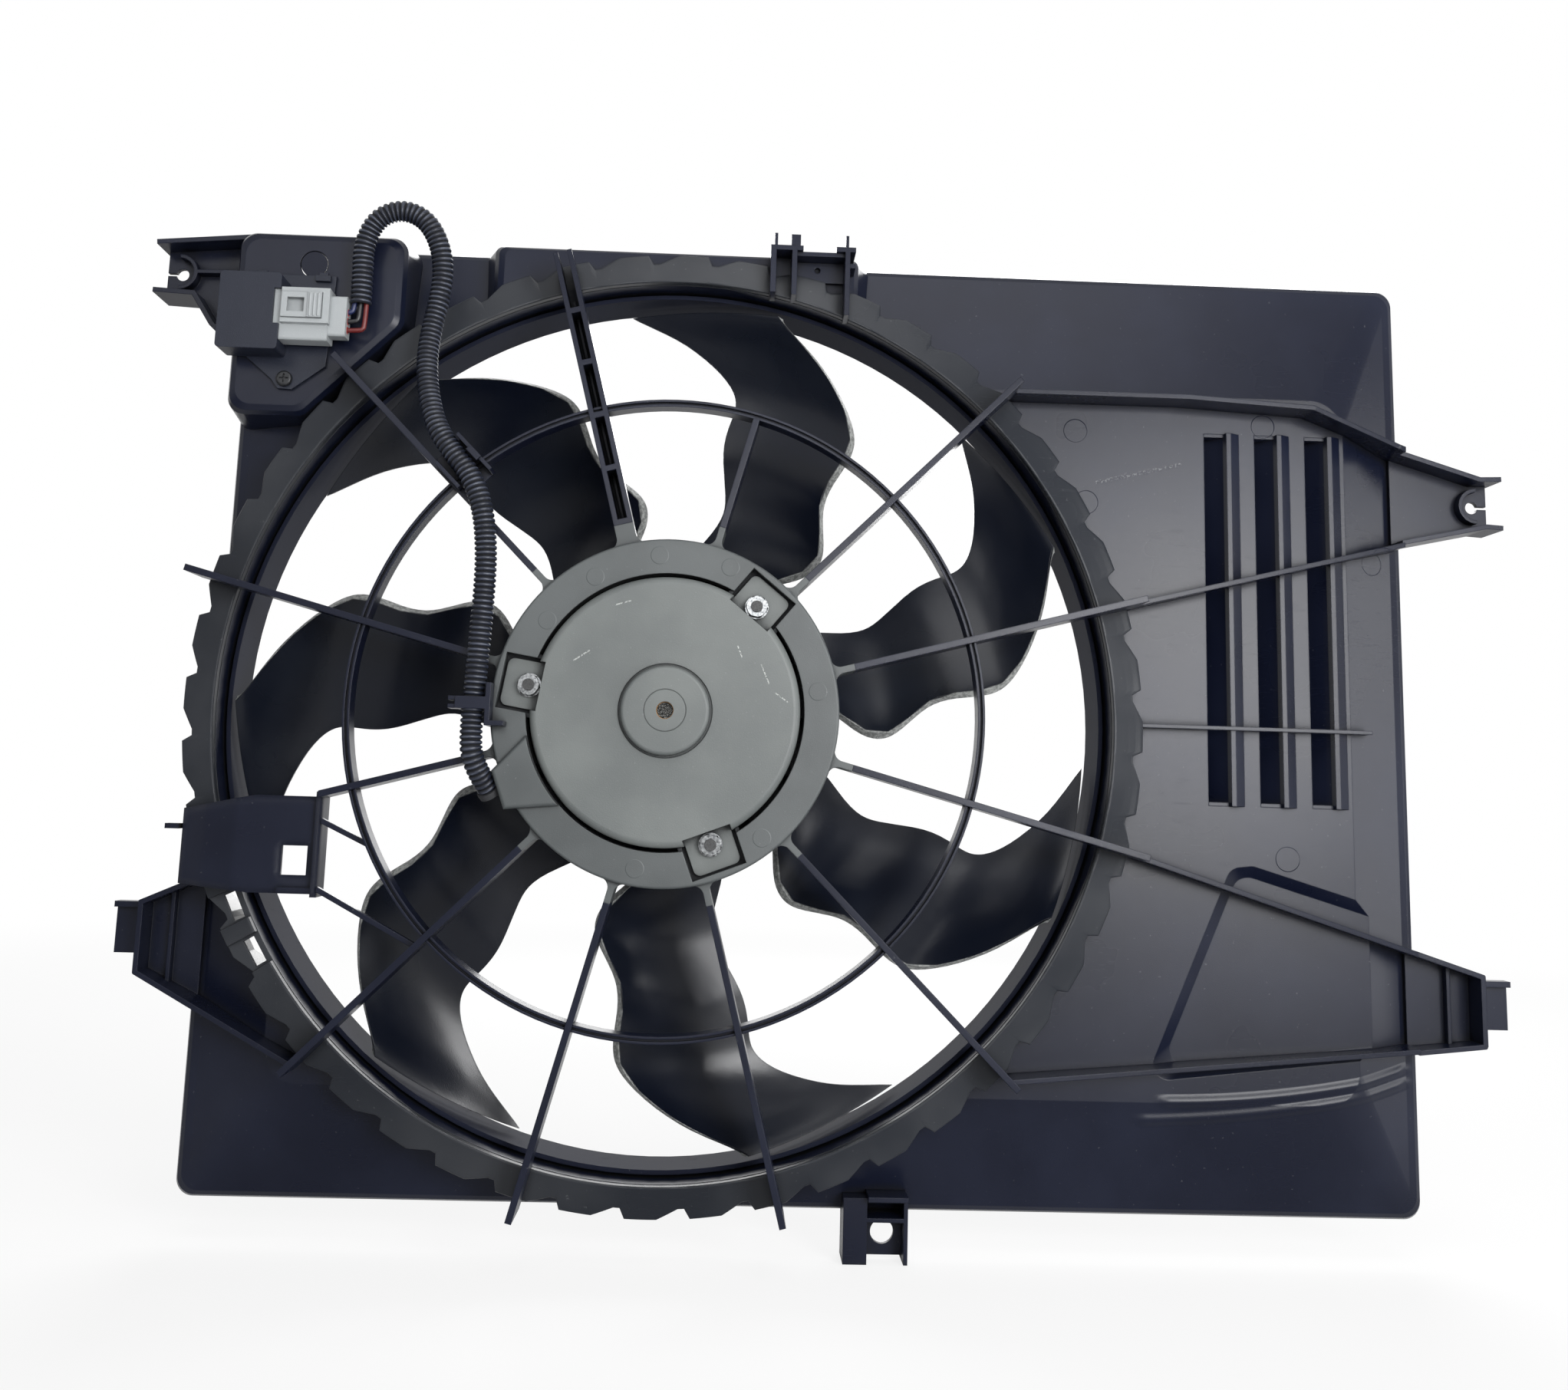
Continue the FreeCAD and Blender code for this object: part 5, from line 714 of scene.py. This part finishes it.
def swage_line(finish, first, last, middle, lowest, bend):
    """A soft ridge from first to last along up = lowest + bend times (across - middle) squared."""
    off = finish.up - (lowest + (finish.across - middle) ** 2 * bend)
    ridge = abs(off).rise(SWAGE_WIDTH, 0.0)
    begun = ridge * finish.across.rise(first, first + SWAGE_FADE)
    return begun * finish.across.rise(last, last - SWAGE_FADE)


def shroud_plastic(name, marks=(), edge=SHROUD_EDGE, gloss=SHROUD_GLOSS, duct=False,
                   tones=(PANEL_TONE, PANEL_CLOUD)):
    """Satin black plastic: clouded tone with painted shade in corners, and grain and marks in relief.
    """
    finish = Finish(name, Specular_IOR_Level=gloss)
    clouds = finish.noise(CLOUD_SCALE, 3.0)
    grain = finish.noise(GRAIN_SCALE, 2.0)
    rubs = finish.noise(RUB_SCALE, 4.0, RUB_STRETCH, 0.7).rise(0.58, 0.72)
    specks = finish.noise(SPECK_SCALE, 3.0).rise(0.70, 0.78)
    free = finish.open_air(CORNER_REACH)
    tone = finish.tint(clouds.rise(0.35, 0.75), *tones)
    tone = finish.tint(specks * 0.16, tone, DUST_TONE)
    roughness = 0.25 + clouds * 0.06 + rubs * 0.05 + specks * 0.1 + (1.0 - free) * 0.45
    height = grain * 0.2 + clouds * 0.8
    if marks:
        broken = finish.noise(SCUFF_SCALE, 4.0).rise(0.48, 0.60)
        scuff = rubbed_line(finish, PANEL_SCUFF, SCUFF_WIDTH) * broken
        tone = finish.tint(scuff * 0.5, tone, DUST_TONE)
        height = height + pin_marks(finish, marks) - scuff * 0.4
        height = height + sum(swage_line(finish, *swage) for swage in SWAGES) * SWAGE_RISE
    if duct:
        in_duct = finish.from_axis().rise(DUCT_RADIUS + DUCT_BAND, DUCT_RADIUS)
        roughness = roughness + in_duct * 0.5
        # Painted sheen: the ring turns paler where it stands as far forward as the ledge.
        tone = finish.tint(finish.deep.rise(*LEDGE_DEPTHS), tone, LEDGE_SHEEN_TONES[1])
    # Painted shade: the colour darkens in corners that the occlusion node finds.
    finish.set("Base Color", finish.tint(free, PAINTED_CORNER_SHADE, tone))
    finish.set("Roughness", roughness)
    finish.relief(height, SHROUD_RELIEF, edge)
    print(name, "marks", len(marks))
    return finish.material


panel_finish = shroud_plastic("panel_plastic", PANEL_MARKS)
ring_finish = shroud_plastic("ring_plastic", gloss=RING_GLOSS, duct=True)
guard_finish = shroud_plastic("guard_plastic")
strap_finish = shroud_plastic("strap_plastic", edge=STRAP_EDGE)
# The ledge caps take the paler tones as a painted sheen.
ledge_finish = shroud_plastic("ledge_plastic", tones=LEDGE_SHEEN_TONES)
for cap in ledge_caps:
    cap.data.materials.append(ledge_finish)
ladder_web.data.materials.append(guard_finish)

# %% [markdown]
# ## Motor carrier
# The carrier is the same plastic, but its flat faces the camera and is duller, and its colour
# is a lighter grey: a painted sheen for the light on that flat.
# It has its own pin marks on a circle round the motor.

# %% Carrier finish
# Painted sheen: greys lighter than the shroud's, for the light on the carrier's flat.
CARRIER_SHEEN_TONE = shade(57, 61, 62)
CARRIER_SHEEN_CLOUD = shade(70, 74, 75)
CARRIER_MARKS = ((-0.006, 0.0785), (-0.038, 0.0665), (-0.061, 0.0436), (0.076, 0.012), (0.050, -0.061),
                 (-0.012, -0.0775), (0.030, 0.0735))
CARRIER_MARK_RADIUS = 0.0042
CARRIER_CLOUD_SCALE = 22.0
CARRIER_SPECK_SCALE = 700.0
CARRIER_RELIEF = 0.00014

carrier_finish = Finish("carrier_plastic", Specular_IOR_Level=0.42)
carrier_clouds = carrier_finish.noise(CARRIER_CLOUD_SCALE, 3.0)
carrier_grain = carrier_finish.noise(GRAIN_SCALE, 2.0)
carrier_specks = carrier_finish.noise(CARRIER_SPECK_SCALE, 3.0).rise(0.68, 0.76)
# Painted sheen: the carrier's whole colour is lighter than the same plastic elsewhere.
carrier_tone = carrier_finish.tint(carrier_clouds.rise(0.3, 0.7), CARRIER_SHEEN_TONE, CARRIER_SHEEN_CLOUD)
carrier_tone = carrier_finish.tint(carrier_specks * 0.25, carrier_tone, DUST_TONE)
carrier_free = carrier_finish.open_air(CORNER_REACH)
# Painted shade: the colour darkens in corners that the occlusion node finds.
carrier_finish.set("Base Color", carrier_finish.tint(carrier_free, PAINTED_CORNER_SHADE, carrier_tone))
carrier_finish.set("Roughness", 0.40 + carrier_clouds * 0.08 + (1.0 - carrier_free) * 0.4)
carrier_pins = pin_marks(carrier_finish, CARRIER_MARKS, CARRIER_MARK_RADIUS)
carrier_height = carrier_grain * 0.3 + carrier_clouds * 0.4 + carrier_pins * 0.7
carrier_finish.relief(carrier_height, CARRIER_RELIEF, SHROUD_EDGE)
print("carrier marks", len(CARRIER_MARKS))

# %% [markdown]
# ## Motor cover
# The cover and the can behind it wear a matt dark enamel. Five short scratches show the paler
# primer, and the dimple in the boss is rough and speckled where the bush was staked. Each scratch
# is a thin band: narrow across its line, limited along it, and broken up by noise.

# %% Cover finish
COVER_TONE = shade(79, 83, 83)
COVER_CLOUD = shade(93, 97, 96)
SCRATCH_TONE = shade(168, 171, 168)
DIMPLE_TONE = shade(52, 52, 50)
SCRATCHES = (((0.0350, 0.0335), (0.0375, 0.0275)), ((0.0470, 0.0245), (0.0515, 0.0145)),
             ((0.0545, 0.0105), (0.0610, 0.0060)), ((-0.0270, 0.0520), (-0.0190, 0.0545)),
             ((-0.0465, 0.0235), (-0.0385, 0.0290)))
SCRATCH_WIDTH = 0.00032
DIMPLE_EDGE = 0.0044
DIMPLE_FADE = 0.0003
COVER_CLOUD_SCALE = 18.0
COVER_PEEL_SCALE = 1500.0
COVER_SPECK_SCALE = 900.0
SCRATCH_SCALE = 1400.0
STAKED_SCALE = 2400.0
COVER_RELIEF = 0.00012
COVER_EDGE = 0.0005

cover_finish = Finish("cover_enamel", Specular_IOR_Level=0.45)
cover_clouds = cover_finish.noise(COVER_CLOUD_SCALE, 4.0)
cover_peel = cover_finish.noise(COVER_PEEL_SCALE, 2.0)
cover_specks = cover_finish.noise(COVER_SPECK_SCALE, 3.0).rise(0.66, 0.74)
scratched = sum(rubbed_line(cover_finish, ends, SCRATCH_WIDTH) for ends in SCRATCHES)
scratched = scratched * cover_finish.noise(SCRATCH_SCALE, 1.0).rise(0.38, 0.52)
staked = cover_finish.from_axis().rise(DIMPLE_EDGE, DIMPLE_EDGE - DIMPLE_FADE)
staked_grit = cover_finish.noise(STAKED_SCALE, 3.0).rise(0.42, 0.62)
cover_tone = cover_finish.tint(cover_clouds.rise(0.3, 0.7), COVER_TONE, COVER_CLOUD)
cover_tone = cover_finish.tint(cover_specks * 0.3, cover_tone, DUST_TONE)
staked_tone = cover_finish.tint(staked_grit, DIMPLE_TONE, SCRATCH_TONE)
cover_tone = cover_finish.tint(staked, cover_tone, staked_tone)
cover_tone = cover_finish.tint(scratched * 0.75, cover_tone, SCRATCH_TONE)
cover_free = cover_finish.open_air(CORNER_REACH)
# Painted shade: the colour darkens in corners that the occlusion node finds.
cover_finish.set("Base Color", cover_finish.tint(cover_free, PAINTED_CORNER_SHADE, cover_tone))
cover_finish.set("Roughness", 0.44 + cover_clouds * 0.08 - scratched * 0.1 + (1.0 - cover_free) * 0.4)
cover_height = cover_peel * 0.35 + cover_clouds * 0.3 + staked * staked_grit * 2.0 - scratched
cover_finish.relief(cover_height, COVER_RELIEF, COVER_EDGE)
print("scratches", len(SCRATCHES))

# %% [markdown]
# ## Fan blades
# The impeller is a smoother black than the shroud, because it is polished to keep the air clean.
# Road dust has dulled it in soft patches. The thin lip along each trailing edge is a pale grey,
# frayed like a scuff: partly scuffing, partly a painted highlight of the edge that catches the light.
# To find that lip the finish measures the angle round the axis, folds it into one blade's share,
# and compares it with the edge's own angle at that distance from the axis.

# %% Impeller finish
BLADE_TONE = shade(8, 12, 22)
BLADE_DUST = shade(20, 24, 32)
LIP_TONE = shade(150, 152, 150)
BLADES = 7
TRAILING_EDGE = ((70.0, 14.0), (82.0, 6.5), (92.0, 1.5), (104.0, -2.6), (116.0, -2.6), (127.0, 1.2),
                 (138.0, 4.8), (152.0, 6.2), (166.0, 6.3), (178.0, 7.2), (190.0, 10.5), (202.0, 15.2),
                 (214.0, 20.6), (226.5, 25.4), (236.0, 29.6))
EDGE_REACH = (70.0, 236.0)
EDGE_SWING = 60.0
EDGE_BACK = 10.0
BLADE_ROOT = 0.0805
ROOT_FADE = 0.004
TWO_TURNS = 720.0
FRAY_SCALE = 520.0
BLADE_DUST_SCALE = 12.0
BLADE_GRAIN_SCALE = 1800.0
BLADE_RELIEF = 0.00016
BLADE_EDGE = 0.0005
LIP_FRONT = (0.55, -0.35)
LIP_BACK = (-6.0, -5.0)

impeller_finish = Finish("impeller_plastic", Specular_IOR_Level=0.26)
blade_reach = impeller_finish.from_axis()
blade_angle = impeller_finish.up.maths("ARCTAN2", impeller_finish.across) * math.degrees(1.0)
reach_span = EDGE_REACH[1] - EDGE_REACH[0]
reach_share = (blade_reach * 1000.0 - EDGE_REACH[0]) / reach_span
edge_stops = [((reach - EDGE_REACH[0]) / reach_span, (angle + EDGE_BACK) / EDGE_SWING)
              for reach, angle in TRAILING_EDGE]
edge_ramp = impeller_finish.add("ShaderNodeValToRGB", {"stops": edge_stops}, {0: reach_share})
edge_angle = edge_ramp * EDGE_SWING - EDGE_BACK
pitch_angle = 360.0 / BLADES
positive_angle = blade_angle - edge_angle + TWO_TURNS + pitch_angle / 2
beyond = positive_angle.maths("MODULO", pitch_angle) - pitch_angle / 2
beyond_mm = beyond * blade_reach * (1000.0 / math.degrees(1.0))
frayed = impeller_finish.noise(FRAY_SCALE, 4.0, roughness=0.7)
past_root = blade_reach.rise(BLADE_ROOT, BLADE_ROOT + ROOT_FADE)
lip = beyond_mm.rise(*LIP_FRONT) * beyond_mm.rise(*LIP_BACK) * past_root
# Painted highlight with scuffing: a pale, frayed band along each trailing edge.
lip_sheen_and_scuff = lip * (0.45 + frayed.rise(0.42, 0.60) * 0.55)
dusty = impeller_finish.noise(BLADE_DUST_SCALE, 4.0).rise(0.40, 0.75)
blade_grain = impeller_finish.noise(BLADE_GRAIN_SCALE, 2.0)
blade_tone = impeller_finish.tint(dusty * 0.55, BLADE_TONE, BLADE_DUST)
impeller_free = impeller_finish.open_air(CORNER_REACH, own_only=True)
# Painted highlight and scuffing: the trailing-edge lip turns pale grey.
blade_tone = impeller_finish.tint(lip_sheen_and_scuff, blade_tone, LIP_TONE)
# Painted shade: the colour darkens in the impeller's own corners.
impeller_finish.set("Base Color", impeller_finish.tint(impeller_free, PAINTED_CORNER_SHADE, blade_tone))
impeller_finish.set("Roughness", 0.235 + dusty * 0.08 + lip_sheen_and_scuff * 0.2)
blade_height = blade_grain * 0.2 + dusty * 0.6 + lip_sheen_and_scuff * frayed
impeller_finish.relief(blade_height, BLADE_RELIEF, BLADE_EDGE)
print("edge stops", len(edge_stops))

# %% [markdown]
# ## Nuts, studs and screw
# The nuts are zinc plated, and with the plug the brightest things on the part. A stud's end is
# dull dark steel with fine streaks. The module's screw is blackened, with a cross cut in its head.

# %% Steel finishes
ZINC_TONE = shade(140, 142, 143)
ZINC_SHADE = shade(82, 84, 86)
STUD_TONE = shade(62, 63, 64)
BLACKED_TONE = shade(42, 43, 46)


def brushed_metal(name, tone, shaded, roughness, scale, stretch=(1.0, 1.0, 1.0), edge=0.0002,
                  metal=1.0):
    """Metal whose tone and gloss vary a little with one noise, drawn out by stretch along the grain."""
    finish = Finish(name, Metallic=metal)
    streaks = finish.noise(scale, 4.0, stretch, 0.6)
    finish.set("Base Color", finish.tint(streaks.rise(0.3, 0.7), shaded, tone))
    finish.set("Roughness", roughness + streaks * 0.14)
    finish.relief(streaks, 0.00002, edge)
    print(name)
    return finish.material


nut_finish = brushed_metal("zinc_plating", ZINC_TONE, ZINC_SHADE, 0.22, 900.0)
stud_finish = brushed_metal("stud_steel", STUD_TONE, shade(22, 22, 23), 0.42, 2600.0, metal=0.35)
screw_finish = brushed_metal("blackened_screw", BLACKED_TONE, shade(26, 27, 29), 0.34, 1400.0,
                             metal=0.5)
spring_finish = brushed_metal("spring_wire", shade(170, 171, 173), shade(120, 121, 124), 0.22, 900.0)
insert_finish = brushed_metal("turned_insert", shade(160, 161, 163), shade(118, 119, 122), 0.26, 800.0,
                              (1.0, 8.0, 1.0))
bronze_finish = brushed_metal("sintered_bronze", shade(150, 112, 66), shade(104, 78, 48), 0.42, 3200.0)
copper_finish = brushed_metal("enamelled_copper", shade(176, 92, 50), shade(120, 56, 30), 0.24, 700.0,
                              (1.0, 9.0, 1.0))

# %% [markdown]
# ## The shaft
# The shaft is ground bright where it runs in its bushes. Its rear end, at the bottom of the
# cover's dimple, was left rough and is dark with old oil, which is the black spot in the middle
# of the photograph. Depth along the axis parts the two.

# %% Shaft finish
SHAFT_REAR = -0.0895
GROUND_TONE = shade(190, 191, 193)
OILED_TONE = shade(30, 30, 29)
WORN_TONE = shade(120, 120, 118)
TURNING_SCALE = 900.0
TURNING_STRETCH = (1.0, 6.0, 1.0)
OIL_SCALE = 2600.0
OIL_FADE = 0.0005

shaft_finish = Finish("ground_shaft", Metallic=0.8)
turning = shaft_finish.noise(TURNING_SCALE, 4.0, TURNING_STRETCH)
oil = shaft_finish.noise(OIL_SCALE, 4.0)
rear_end = shaft_finish.deep.rise(SHAFT_REAR, SHAFT_REAR - OIL_FADE)
oiled = shaft_finish.tint(oil.rise(0.5, 0.66), OILED_TONE, WORN_TONE)
shaft_finish.set("Base Color", shaft_finish.tint(rear_end, GROUND_TONE, oiled))
shaft_finish.set("Roughness", 0.14 + turning * 0.1 + rear_end * 0.4)
shaft_finish.relief(turning * 0.2 + rear_end * oil * 6.0, 0.00006)
print("shaft end at", SHAFT_REAR)

# %% [markdown]
# ## Laminations
# An armature core is a stack of thin stamped sheets. Its side shows them as fine lines square to
# the shaft, so a sine of the depth darkens every joint between two sheets.

# %% Laminated core
SHEET_PITCH = 0.0005
SHEET_TONE = shade(118, 119, 122)
JOINT_TONE = shade(58, 58, 60)

core_finish = Finish("laminated_steel", Metallic=1.0)
layers = (core_finish.deep * (2 * math.pi / SHEET_PITCH)).maths("SINE") * 0.5 + 0.5
core_stain = core_finish.noise(160.0, 3.0)
core_finish.set("Base Color", core_finish.tint(layers.rise(0.05, 0.5), JOINT_TONE, SHEET_TONE))
core_finish.set("Roughness", 0.36 + core_stain * 0.16)
core_finish.relief(layers, 0.00004)

# %% [markdown]
# ## Matt pieces inside the motor
# Ferrite magnets are dark grey and slightly sparkling, carbon brushes are softer and darker, and
# the brush plate is a brown pressed resin with visible filler. One recipe serves them, and the
# lead's rubber boot and the fibre washers too: a tone, a second tone in specks, and a grain.

# %% Speckled finishes
def speckled(name, tone, speck, share, scale, roughness, edge=0.0004, depth=0.00006, specular=0.5):
    """Matt body with specks: noise above a threshold shows the second tone by the given share."""
    finish = Finish(name, Specular_IOR_Level=specular)
    grit = finish.noise(scale, 3.0)
    clouds = finish.noise(scale / 40.0, 3.0)
    body = finish.tint(grit.rise(0.60, 0.72) * share, tone, speck)
    darker = tuple(channel * 0.78 for channel in tone[:3]) + (1.0,)
    finish.set("Base Color", finish.tint(clouds.rise(0.55, 0.85) * 0.6, body, darker))
    finish.set("Roughness", roughness + clouds * 0.10)
    finish.relief(grit + clouds, depth, edge)
    print(name)
    return finish.material


ferrite_finish = speckled("ferrite", shade(58, 58, 62), shade(110, 110, 116), 0.5, 2600.0, 0.45)
carbon_finish = speckled("brush_carbon", shade(38, 38, 40), shade(84, 84, 86), 0.4, 3200.0, 0.55)
resin_finish = speckled("brush_resin", shade(104, 74, 48), shade(142, 112, 80), 0.5, 1800.0, 0.5)
boot_finish = speckled("boot_rubber", shade(36, 37, 40), shade(60, 61, 64), 0.35, 1500.0, 0.62)
washer_finish = speckled("fibre_washer", shade(120, 96, 70), shade(150, 124, 92), 0.5, 2200.0, 0.7)

# %% [markdown]
# ## Module, socket and plug
# The module and its socket are a fine-grained black, a little bluer than the shroud. The plug is
# the usual mid grey of a sealed connector, slightly soapy, and its wire seals are red rubber.

# %% Module and plug finishes
module_finish = speckled("module_plastic", shade(22, 26, 38), shade(58, 62, 74), 0.3, 1800.0, 0.34,
                         0.0005, 0.00005, 0.28)
plug_finish = speckled("plug_plastic", shade(144, 148, 150), shade(160, 164, 165), 0.4, 1500.0, 0.40,
                       0.0004, 0.00004)
for rib in grip_ribs:
    rib.data.materials.append(plug_finish)
seal_finish = speckled("seal_rubber", shade(176, 52, 44), shade(200, 92, 80), 0.3, 1800.0, 0.5,
                       0.0002, 0.00003)

# %% [markdown]
# ## The resistor and its cap
# The wound resistor hides inside the pocket, and only its round end shows in the roof. That end
# is a black cap, level with the plastic round it, so the finish turns from ceramic to black just
# under the roof.

# %% Resistor finish
CAP_DEPTH = -0.0488
CAP_FADE = 0.0004
CERAMIC_TONE = shade(186, 182, 170)
FIRED_TONE = shade(150, 146, 136)

resistor_finish = Finish("resistor_ceramic", Specular_IOR_Level=0.2)
fired = resistor_finish.noise(1600.0, 3.0)
capped = resistor_finish.deep.rise(CAP_DEPTH, CAP_DEPTH - CAP_FADE)
ceramic = resistor_finish.tint(fired.rise(0.5, 0.7) * 0.5, CERAMIC_TONE, FIRED_TONE)
resistor_finish.set("Base Color", resistor_finish.tint(capped, ceramic, PANEL_TONE))
resistor_finish.set("Roughness", 0.6 - capped * 0.28 + fired * 0.1)
resistor_finish.relief(fired, 0.00005, 0.0004)
print("cap from", CAP_DEPTH)

# %% [markdown]
# ## Conduit and wire finishes
# The conduit is a softer polyethylene with a waxy sheen. Its crests are paler, partly rubbed and
# partly a painted highlight, and its grooves are dull and darkened as painted shade. The `along`
# attribute gives each point its place on the line, so the crests are found by the same wave that
# made the ribs.

# %% Conduit finish
CONDUIT_TONE = shade(20, 24, 36)
# Painted highlight, partly rubbing: the paler crest tone.
CREST_SHEEN_TONE = shade(74, 79, 92)
# Painted shade: the groove tone.
GROOVE_SHADE_TONE = shade(3, 4, 8)

conduit_finish = Finish("conduit_plastic", Specular_IOR_Level=0.36)
travel = conduit_finish.add("ShaderNodeAttribute", {"attribute_name": "along"}, output="Fac")
wave = (travel * (rib_count / conduit_length * 2 * math.pi)).maths("COSINE") * 0.5 + 0.5
# Painted highlight with rubbing: paler crests, broken up by noise.
crest_sheen_and_rub = wave.rise(0.35, 0.0) * conduit_finish.noise(130.0, 3.0).rise(0.35, 0.65)
conduit_grain = conduit_finish.noise(1600.0, 2.0)
# Painted shade: the grooves darken.
in_groove = wave.rise(0.55, 0.9)
crest_tone = conduit_finish.tint(crest_sheen_and_rub * 0.7, CONDUIT_TONE, CREST_SHEEN_TONE)
conduit_finish.set("Base Color", conduit_finish.tint(in_groove, crest_tone, GROOVE_SHADE_TONE))
conduit_finish.set("Roughness", 0.34 + conduit_grain * 0.1 + in_groove * 0.5)
conduit_finish.relief(conduit_grain, 0.00005)
conduit.data.materials.append(conduit_finish.material)

# %% Wire finishes
WIRE_TONES = (shade(84, 17, 16), shade(18, 19, 23), shade(24, 33, 70))

for wire, tone in zip(wires, WIRE_TONES):
    pale = tuple(min(1.0, channel * 1.5 + 0.01) for channel in tone[:3]) + (1.0,)
    wire_finish = Finish(wire.name + "_insulation")
    smear = wire_finish.noise(420.0, 3.0)
    wire_finish.set("Base Color", wire_finish.tint(smear.rise(0.5, 0.8) * 0.5, tone, pale))
    wire_finish.set("Roughness", 0.34 + smear * 0.12)
    wire_finish.relief(smear, 0.00002)
    wire.data.materials.append(wire_finish.material)
    print(wire_finish.material.name)

# %% [markdown]
# ## Every node gets its finish
# The solid model names its pieces, and this table says what each is finished in. A node that the
# table misses would stay a flat grey, so the step stops if there is one.

# %% Hand the finishes out
FINISH_OF = {
    panel_finish: ("shroud_panel", "panel_ribs", "louvre_vanes", "upper_left_tab", "upper_right_tab",
                   "lower_left_tab", "lower_right_tab", "top_bracket", "bottom_bracket"),
    ring_finish: ("fan_ring",),
    guard_finish: ("stator_arms", "ladder_arm", "mid_ring", "strap_struts", "arm_channel",
                   "carrier_clip"),
    strap_finish: ("strap_bracket",),
    carrier_finish.material: ("motor_carrier", "lead_cover"),
    cover_finish.material: ("motor_cover", "motor_yoke"),
    impeller_finish.material: ("impeller",),
    nut_finish: ("ear_nuts", "hub_washer", "hub_nut"),
    stud_finish: ("carrier_studs",),
    screw_finish: ("module_screw",),
    shaft_finish.material: ("rotor_shaft",),
    spring_finish: ("brush_springs",),
    insert_finish: ("hub_insert",),
    bronze_finish: ("front_bush", "rear_bush"),
    copper_finish: ("armature_windings", "commutator"),
    core_finish.material: ("armature_core",),
    ferrite_finish: ("field_magnets",),
    carbon_finish: ("carbon_brushes",),
    resin_finish: ("brush_plate",),
    washer_finish: ("thrust_rings",),
    resistor_finish.material: ("speed_resistor",),
    module_finish: ("module_plate", "module_clips", "module_socket"),
    plug_finish: ("plug_body", "plug_latch"),
    seal_finish: ("wire_seals",),
    boot_finish: ("lead_grommet",),
    conduit_finish.material: ("conduit", "plug_wires"),
}
finished = set()
for finish_material, names in FINISH_OF.items():
    for node_name in names:
        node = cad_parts[node_name]
        if not node.material_slots:
            node.data.materials.append(finish_material)
        for node_slot in node.material_slots:
            node_slot.material = finish_material
        finished.add(node_name)
missed = sorted(set(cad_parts) - finished)
if missed:
    raise ValueError("no finish for " + ", ".join(missed))
print("finished nodes", len(finished))
